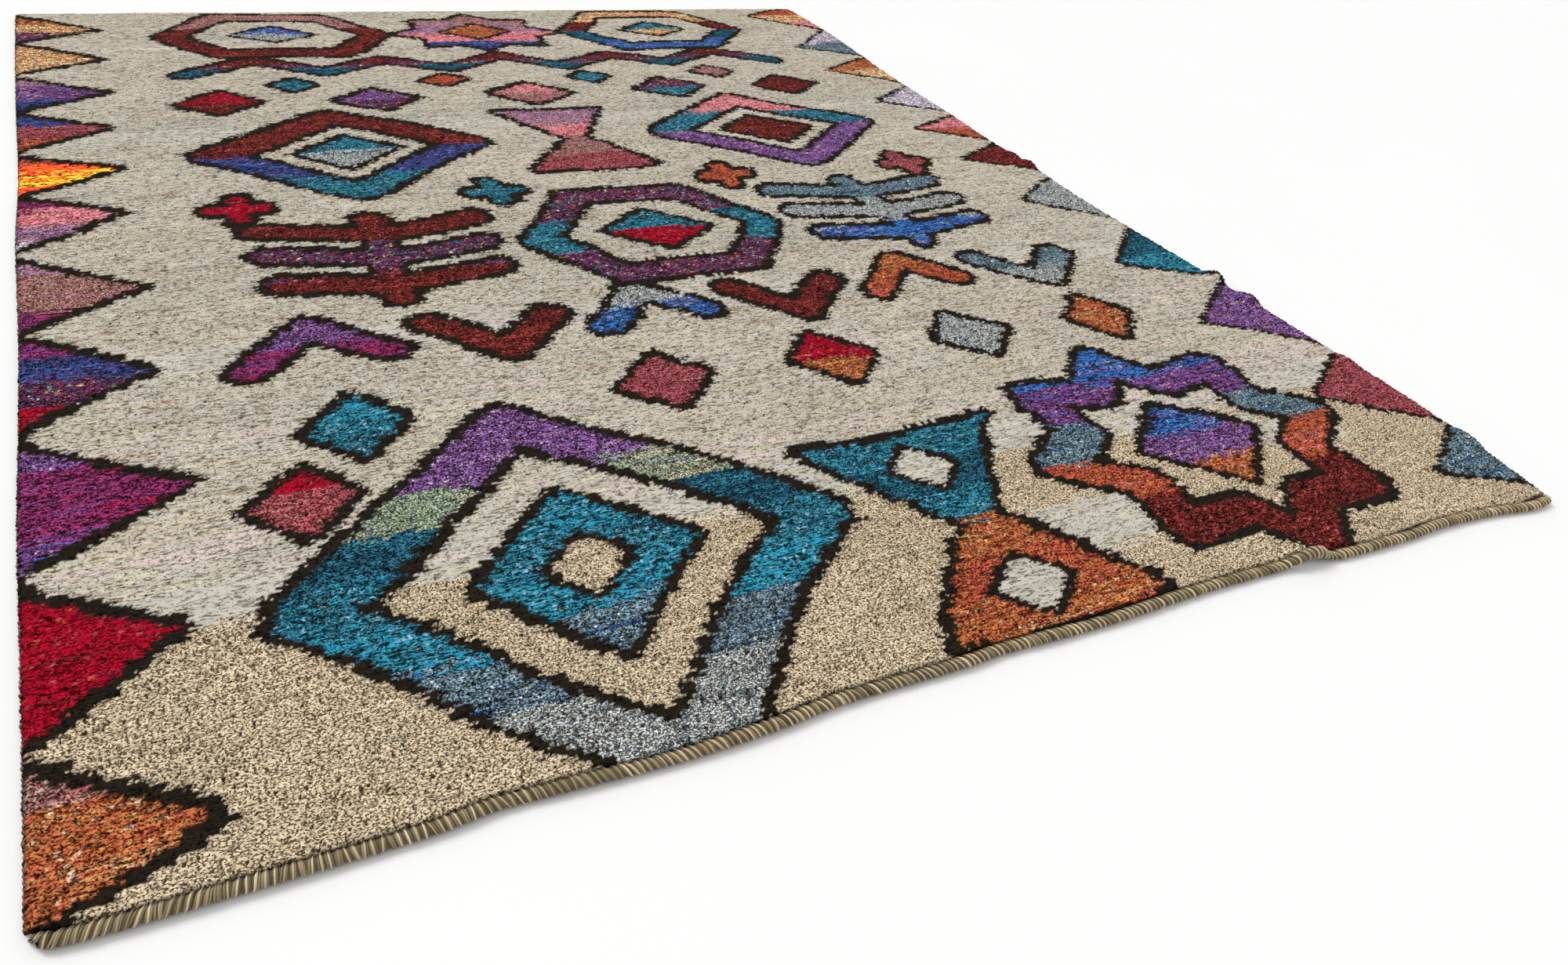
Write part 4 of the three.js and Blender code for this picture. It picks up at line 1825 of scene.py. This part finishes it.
@dataclass(frozen=True)
class Overcast:
    """Yarn wound over one edge of the rug, strand by strand, on a core darkened with painted shade.

    Strands lie in clumps. Gathered is how much closer a clump draws its strands, bulge how much its outer
    strands sink in beside the middle one, and fan how much they spread from the start to the end of their
    turn. Uneven is how loosely they are wound, and draw_in is the length over which the roll closes at its
    ends. Turns are in degrees round the section, from straight out and upwards.
    """

    form: RugForm
    side: Side
    width: float
    height: float
    pitch: float
    half_width: float
    half_thickness: float
    slant: Wander
    slant_spread: float
    turns: tuple[float, float]
    colours: tuple[Dye, Dye, Dye]
    clump: int = 1
    steps: int = 5
    sides: int = 4
    fan: float = 0.0
    gathered: float = 1.0
    bulge: float = 0.0
    uneven: float = 1.0
    draw_in: float = 0.0
    least_end: float = 0.15
    ends: tuple[float, float] = (0.0, 0.0)
    lumps: float = 0.0
    lump_ripple: Ripple = Ripple(37.0, 2.0, 120.0)
    strand_lean: float = 0.8
    strand_shift: float = 0.4
    strand_slack: float = 0.5
    turn_spread: float = 0.25
    width_spread: float = 0.15
    taper: float = 0.25
    taper_end: float = 0.08
    # Painted light and shade on the strands, by their side, their turn and their place in a clump.
    root_shade: float = 0.06
    top_shade: float = 1.05
    tucked_shade: float = 0.15
    tucked: tuple[float, float] = (0.1, 0.18)
    under_shade: float = 0.22
    under_from: float = 0.4
    tone_spread: float = 0.16
    clump_light: float = 1.06
    clump_shade: float = 0.84
    light_share: float = 0.3
    plain_share: float = 0.5
    floor_gap: float = 0.1
    core_floor_gap: float = 0.2
    core_inset: float = 1.5
    core_short: float = 1.0
    core_shade: float = 0.35
    core_step: float = 22.0
    core_sides: int = 10

    def span(self) -> tuple[float, float]:
        """Where the edge starts and ends.

        Returns:
            Its two places, across or along the rug.
        """
        form = self.form
        if self.side in (Side.LEFT, Side.RIGHT):
            corner = form.left_edge(0.0) if self.side is Side.LEFT else form.right_edge(0.0)
            return float(form.front_edge(corner)), form.back_edge
        past = form.side_width + form.gap
        front = -form.half_length + form.front_width
        place = front if self.side is Side.FRONT else form.half_length
        start, end = float(form.left_edge(place)) - past, float(form.right_edge(place)) + past
        return start + self.ends[0], end + self.ends[1]

    def closing(self, place: np.ndarray) -> np.ndarray:
        """How much of the section is left near the edge's two ends, where the winding draws in.

        Args:
            place: Places along the edge.

        Returns:
            A share for each place.
        """
        if not self.draw_in:
            return np.ones_like(place)
        start, end = self.span()
        near = np.minimum(place - start, end - place) / self.draw_in
        return np.sqrt(1 - (1 - np.clip(near, self.least_end, 1)) ** 2)

    def centre(self, place: np.ndarray) -> np.ndarray:
        """The middle of the edge's section across the edge's own direction.

        Args:
            place: Places along the edge.

        Returns:
            How far across or along the rug it lies.
        """
        form = self.form
        reach = form.gap + self.width / 2 * self.closing(place)
        if self.side is Side.FRONT:
            return form.front_edge(place) - reach
        if self.side is Side.BACK:
            return np.full_like(place, form.back_edge + reach)
        if self.side is Side.LEFT:
            return form.left_edge(place) - reach
        return form.right_edge(place) + reach

    def section(self, place: np.ndarray) -> tuple[np.ndarray, np.ndarray]:
        """How far the edge is off the floor, and how high it is.

        Args:
            place: Places along the edge.

        Returns:
            The base and the height at each place.
        """
        form = self.form
        base = np.zeros_like(place)
        height = np.full_like(place, self.height)
        if self.side is Side.RIGHT:
            base = form.side_rise(place) * (1 + form.wrap_extra_rise)
        if self.side is Side.FRONT:
            base = form.front_rise(place)
            lumps = self.lumps * self.lump_ripple.at(place, place)
            swell = 1 + form.swell * form.front_lift.hump(place) - form.pinch.rise * form.pinch.hump(place)
            height = (height + lumps) * swell
        return base, height * self.closing(place)

    def wound(self, place: np.ndarray, turn: np.ndarray,
              inset: np.ndarray) -> tuple[np.ndarray, np.ndarray]:
        """Places on the edge's section, and the way out of it there.

        Args:
            place: Places along the edge.
            turn: Turns round the section in radians, from straight out and upwards.
            inset: How far inside the section's outside.

        Returns:
            The places and the outward directions, with x, y and z last.
        """
        (ax, ay), (ox, oy) = self.side.along, self.side.out
        base, height = self.section(place)
        wide, tall = self.width / 2 * self.closing(place) - inset, height / 2 - inset
        out, up = np.cos(turn) * wide, np.sin(turn) * tall + height / 2
        centre = self.centre(place)
        x = place * ax + centre * abs(ox) + out * ox
        y = place * ay + centre * abs(oy) + out * oy
        normal_out, normal_up = np.cos(turn) / wide, np.sin(turn) / tall
        length = np.hypot(normal_out, normal_up)
        spots = np.stack([x, y, base + up], axis=-1)
        normal = np.stack([normal_out * ox, normal_out * oy, normal_up], axis=-1) / length[..., None]
        return spots, normal

    def build(self, material: bpy.types.Material) -> list[bpy.types.Object]:
        """Makes the strands and their core.

        Args:
            material: The yarn's finish.

        Returns:
            The two pieces.
        """
        node = self.side.node
        wraps = self.strands().piece(f"{node}_wraps", material)
        core = self.core().piece(f"{node}_core", material)
        for piece in (wraps, core):
            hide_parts(node)
        return [wraps, core]

    def strands(self) -> Stock:
        """Winds the strands, in clumps that lean more or less.

        Returns:
            Their mesh.
        """
        start, end = self.span()
        number = np.arange(int((end - start) / self.pitch))
        clump = number // self.clump
        within = (number % self.clump - (self.clump - 1) / 2) * self.pitch * self.gathered
        beside = np.abs(within) / self.pitch
        share = np.linspace(0, 1, self.steps + 1)
        place = np.clip(self.strand_places(number, clump, within, share), start, end)
        first, last = (math.radians(turn) for turn in self.turns)
        ends = last + self.turn_spread * Chance.bell(self.side.seed + 3, number)[:, None]
        turn = first + (ends - first) * share[None, :]
        slack = self.strand_slack * self.uneven * Chance.bell(self.side.seed + 4, number)
        loose = slack[:, None] * np.sin(math.pi * share)[None, :] - self.bulge * beside[:, None]
        corners = self.tubes(number, place, turn, self.half_thickness - loose, share)
        shade = self.strand_shades(share)
        colour = self.strand_colours(number, clump, beside)
        stock = Stock()
        stock.add_copies(corners, colour[:, None, :] * shade[None, :, None], self.strand_faces())
        return stock

    def strand_places(self, number: np.ndarray, clump: np.ndarray, within: np.ndarray,
                      share: np.ndarray) -> np.ndarray:
        """Where each strand lies along the edge as it goes round.

        Args:
            number: The number of each strand.
            clump: The number of its clump.
            within: How far it is from its clump's middle.
            share: Shares of its turn, from 0 to 1.

        Returns:
            The places, a row for each strand.
        """
        seed = self.side.seed
        middle = self.span()[0] + (clump + 0.5) * self.pitch * self.clump
        lean = self.slant.at(middle)
        lean = lean + self.slant_spread * Chance.bell(seed, clump)
        lean = lean + self.strand_lean * Chance.bell(seed + 1, number)
        spread = 1 - self.fan + 2 * self.fan * share[None, :]
        drop = lean[:, None] * (share[None, :] - 0.5)
        place = middle[:, None] + within[:, None] * spread + drop
        return place + self.strand_shift * self.uneven * Chance.bell(seed + 2, number)[:, None]

    def tubes(self, number: np.ndarray, place: np.ndarray, turn: np.ndarray, inset: np.ndarray,
              share: np.ndarray) -> np.ndarray:
        """The corners of flattened tubes that follow the strands.

        Args:
            number: The number of each strand.
            place: Its places along the edge.
            turn: Its turns round the section.
            inset: How far its middle lies inside the section's outside.
            share: Shares of its turn, from 0 to 1.

        Returns:
            The corners, with the strand first and x, y and z last.
        """
        middle_line, normal = self.wound(place, turn, inset)
        swell = np.sin(math.pi * np.clip(share, self.taper_end, 1 - self.taper_end))
        taper = 1 - self.taper + self.taper * swell
        own = 1 + self.width_spread * self.uneven * Chance.bell(self.side.seed + 5, number)
        wide = self.half_width * own[:, None] * taper[None, :]
        along = np.array((*self.side.along, 0.0))
        corners = middle_line[:, :, None, :] + (
            (wide[:, :, None] * np.cos(self.ring))[..., None] * along
            + (self.half_thickness * np.sin(self.ring))[None, None, :, None] * normal[:, :, None, :]
        )
        corners = corners.reshape(len(number), -1, 3)
        corners[..., 2] = np.maximum(corners[..., 2], self.floor_gap)
        return corners

    @property
    def ring(self) -> np.ndarray:
        """The turns of the corners round a strand."""
        return 2 * math.pi * np.arange(self.sides) / self.sides + math.pi / 2

    def strand_shades(self, share: np.ndarray) -> np.ndarray:
        """Painted light and shade on a strand's corners: darker inside, where tucked in and under the roll.

        Args:
            share: Shares of its turn, from 0 to 1.

        Returns:
            A factor for each corner.
        """
        outward = np.tile(0.5 + 0.5 * np.sin(self.ring), self.steps + 1)
        under = np.clip((share - self.under_from) / (1 - self.under_from), 0, 1)
        lit = np.clip((share - self.tucked[0]) / self.tucked[1], self.tucked_shade, 1)
        lit = lit * (1 - self.under_shade * under)
        # Painted shade on the inner side of each strand, where it is tucked in at the pile and under the
        # roll.
        return (self.root_shade + self.top_shade * outward) * np.repeat(lit, self.sides)

    def strand_colours(self, number: np.ndarray, clump: np.ndarray, beside: np.ndarray) -> np.ndarray:
        """The strands' colours, in three dyes and many tones, with painted shade on a clump's side strands.

        Args:
            number: The number of each strand.
            clump: The number of its clump.
            beside: How far it is from its clump's middle, in strands.

        Returns:
            Red, green and blue as light, a row for each strand.
        """
        seed = self.side.seed
        light, plain, dark = (dye.linear for dye in self.colours)
        pick = Chance.even(seed + 6, number)[:, None]
        rest = np.where(pick < self.light_share + self.plain_share, plain, dark)
        colour = np.where(pick < self.light_share, light, rest)
        tone = 1 + self.tone_spread * Chance.bell(seed + 7, clump)
        tone = tone + self.tone_spread * Chance.bell(seed + 8, number)
        # Painted shade: the side strands of a clump, which sink in, are darker by clump_shade.
        return colour * (tone * (self.clump_light - self.clump_shade * beside))[:, None]

    def strand_faces(self) -> list[np.ndarray]:
        """The faces of one strand, with its two ends closed.

        Returns:
            Tables of corner numbers.
        """
        sides = self.sides
        walls = [
            (ring * sides + side, (ring + 1) * sides + side,
             (ring + 1) * sides + (side + 1) % sides, ring * sides + (side + 1) % sides)
            for ring in range(self.steps) for side in range(sides)
        ]
        last = self.steps * sides
        caps = [tuple(range(sides)), tuple(last + side for side in reversed(range(sides)))]
        return [np.array(walls), np.array(caps)]

    def core(self) -> Stock:
        """Makes the roll that the strands are wound on, darkened with painted shade.

        Returns:
            Its mesh.
        """
        start, end = self.span()
        count = int((end - start) / self.core_step)
        places = np.linspace(start + self.core_short, end - self.core_short, count)
        turns = 2 * math.pi * np.arange(self.core_sides) / self.core_sides
        grid, turn = np.meshgrid(places, turns, indexing="ij")
        spots, _ = self.wound(grid, turn, np.full_like(grid, self.half_thickness * self.core_inset))
        numbers = np.arange(spots.shape[0] * self.core_sides).reshape(-1, self.core_sides)
        after = np.roll(numbers, -1, axis=1)
        walls = np.stack([numbers[:-1], numbers[1:], after[1:], after[:-1]], axis=-1).reshape(-1, 4)
        caps = np.stack([numbers[0], numbers[-1][::-1]])
        corners = spots.reshape(-1, 3)
        corners[:, 2] = np.maximum(corners[:, 2], self.core_floor_gap)
        # Painted shade: the core, seen only between strands, is the darkest dye times core_shade.
        colours = np.tile(self.colours[2].linear * self.core_shade, (len(corners), 1))
        stock = Stock()
        stock.add(corners, colours, [walls, caps])
        return stock


@dataclass(frozen=True)
class Studio:
    """The pale floor, the sky of soft light and the key light."""

    floor_half: float = 30.0
    floor_drop: float = 0.0004
    sky: float = 0.8
    sky_tint: Tint = (1.0, 1.0, 1.0, 1.0)
    key: float = 1.45
    key_angle: float = 28.0
    key_from: Triple = (-0.55, 0.75, 1.15)

    def build(self) -> None:
        """Makes the floor and the lights."""
        half, drop = self.floor_half, self.floor_drop
        mesh = bpy.data.meshes.new("studio_floor")
        corners = ((-half, -half, -drop), (half, -half, -drop), (half, half, -drop), (-half, half, -drop))
        mesh.from_pydata(corners, [], [(0, 1, 2, 3)])
        mesh.materials.append(FloorFinish().build())
        floor = bpy.data.objects.new("studio_floor", mesh)
        bpy.context.collection.objects.link(floor)
        world = bpy.data.worlds.new("soft_sky")
        world.use_nodes = True
        background = world.node_tree.nodes["Background"]
        background.inputs["Color"].default_value = self.sky_tint
        background.inputs["Strength"].default_value = self.sky
        bpy.context.scene.world = world
        data = bpy.data.lights.new("key_light", "SUN")
        data.energy = self.key
        data.angle = math.radians(self.key_angle)
        key = bpy.data.objects.new("key_light", data)
        key.rotation_mode = "QUATERNION"
        key.rotation_quaternion = Vector(self.key_from).to_track_quat("Z", "Y")
        bpy.context.collection.objects.link(key)
        bpy.context.scene.view_settings.view_transform = "Standard"


@dataclass(frozen=True)
class Rug:
    """The whole rug: its woven ground, its pile and its four bound edges."""

    camera: PhotoCamera
    form: RugForm = field(default_factory=RugForm)
    pattern: Pattern = field(default_factory=Pattern)

    def build(self) -> None:
        pile_yarn = PileFinish().build()
        bound_yarn = YarnFinish().build()
        ground = WovenGround(self.form, self.pattern).build(pile_yarn)
        pieces = Pile(self.form, self.pattern, self.camera).build(pile_yarn)
        for edge in self.edges():
            pieces.extend(edge.build(bound_yarn))

    def edges(self) -> list[Overcast]:
        """The four bound edges: a thick overcast front, a thin back and two wrapped sides.

        Returns:
            The front, the back, the left and the right one.
        """
        khaki = (Dye.KHAKI, Dye.OLIVE, Dye.UMBER)
        taupe = (Dye.DRAB, Dye.PEAT, Dye.COFFEE)
        leaning = Wander(((-1270, -20), (-1060, -9), (-850, 10), (-600, 17), (1270, 15)))
        upright = Wander(((-1600, 4), (1600, 0)))
        thin = {"slant": upright, "slant_spread": 2, "colours": taupe}
        front = Overcast(
            self.form, Side.FRONT, width=21, height=17.5, pitch=3.1, half_width=1.75, half_thickness=1.9,
            slant=leaning, slant_spread=6, turns=(168, -78), colours=khaki, clump=3, steps=7, sides=5,
            fan=0.12, gathered=0.76, bulge=1.25, uneven=1.6, draw_in=13, ends=(7, -3), lumps=1.1,
        )
        back = Overcast(
            self.form, Side.BACK, width=7, height=8, pitch=7.0, half_width=3.2, half_thickness=1.2,
            turns=(170, -70), **thin,
        )
        wraps = [
            Overcast(
                self.form, side, width=8, height=8, pitch=8.6, half_width=4.1, half_thickness=1.3,
                turns=(170, -75), uneven=2.0, **thin,
            )
            for side in (Side.LEFT, Side.RIGHT)
        ]
        return [front, back, *wraps]


def main() -> None:
    """Builds the camera, the rug and the studio."""
    logging.basicConfig(level=logging.INFO, format="%(message)s")
    camera = PhotoCamera()
    camera.build()
    Rug(camera).build()
    Studio().build()
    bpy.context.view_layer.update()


if __name__ == "__main__":
    main()
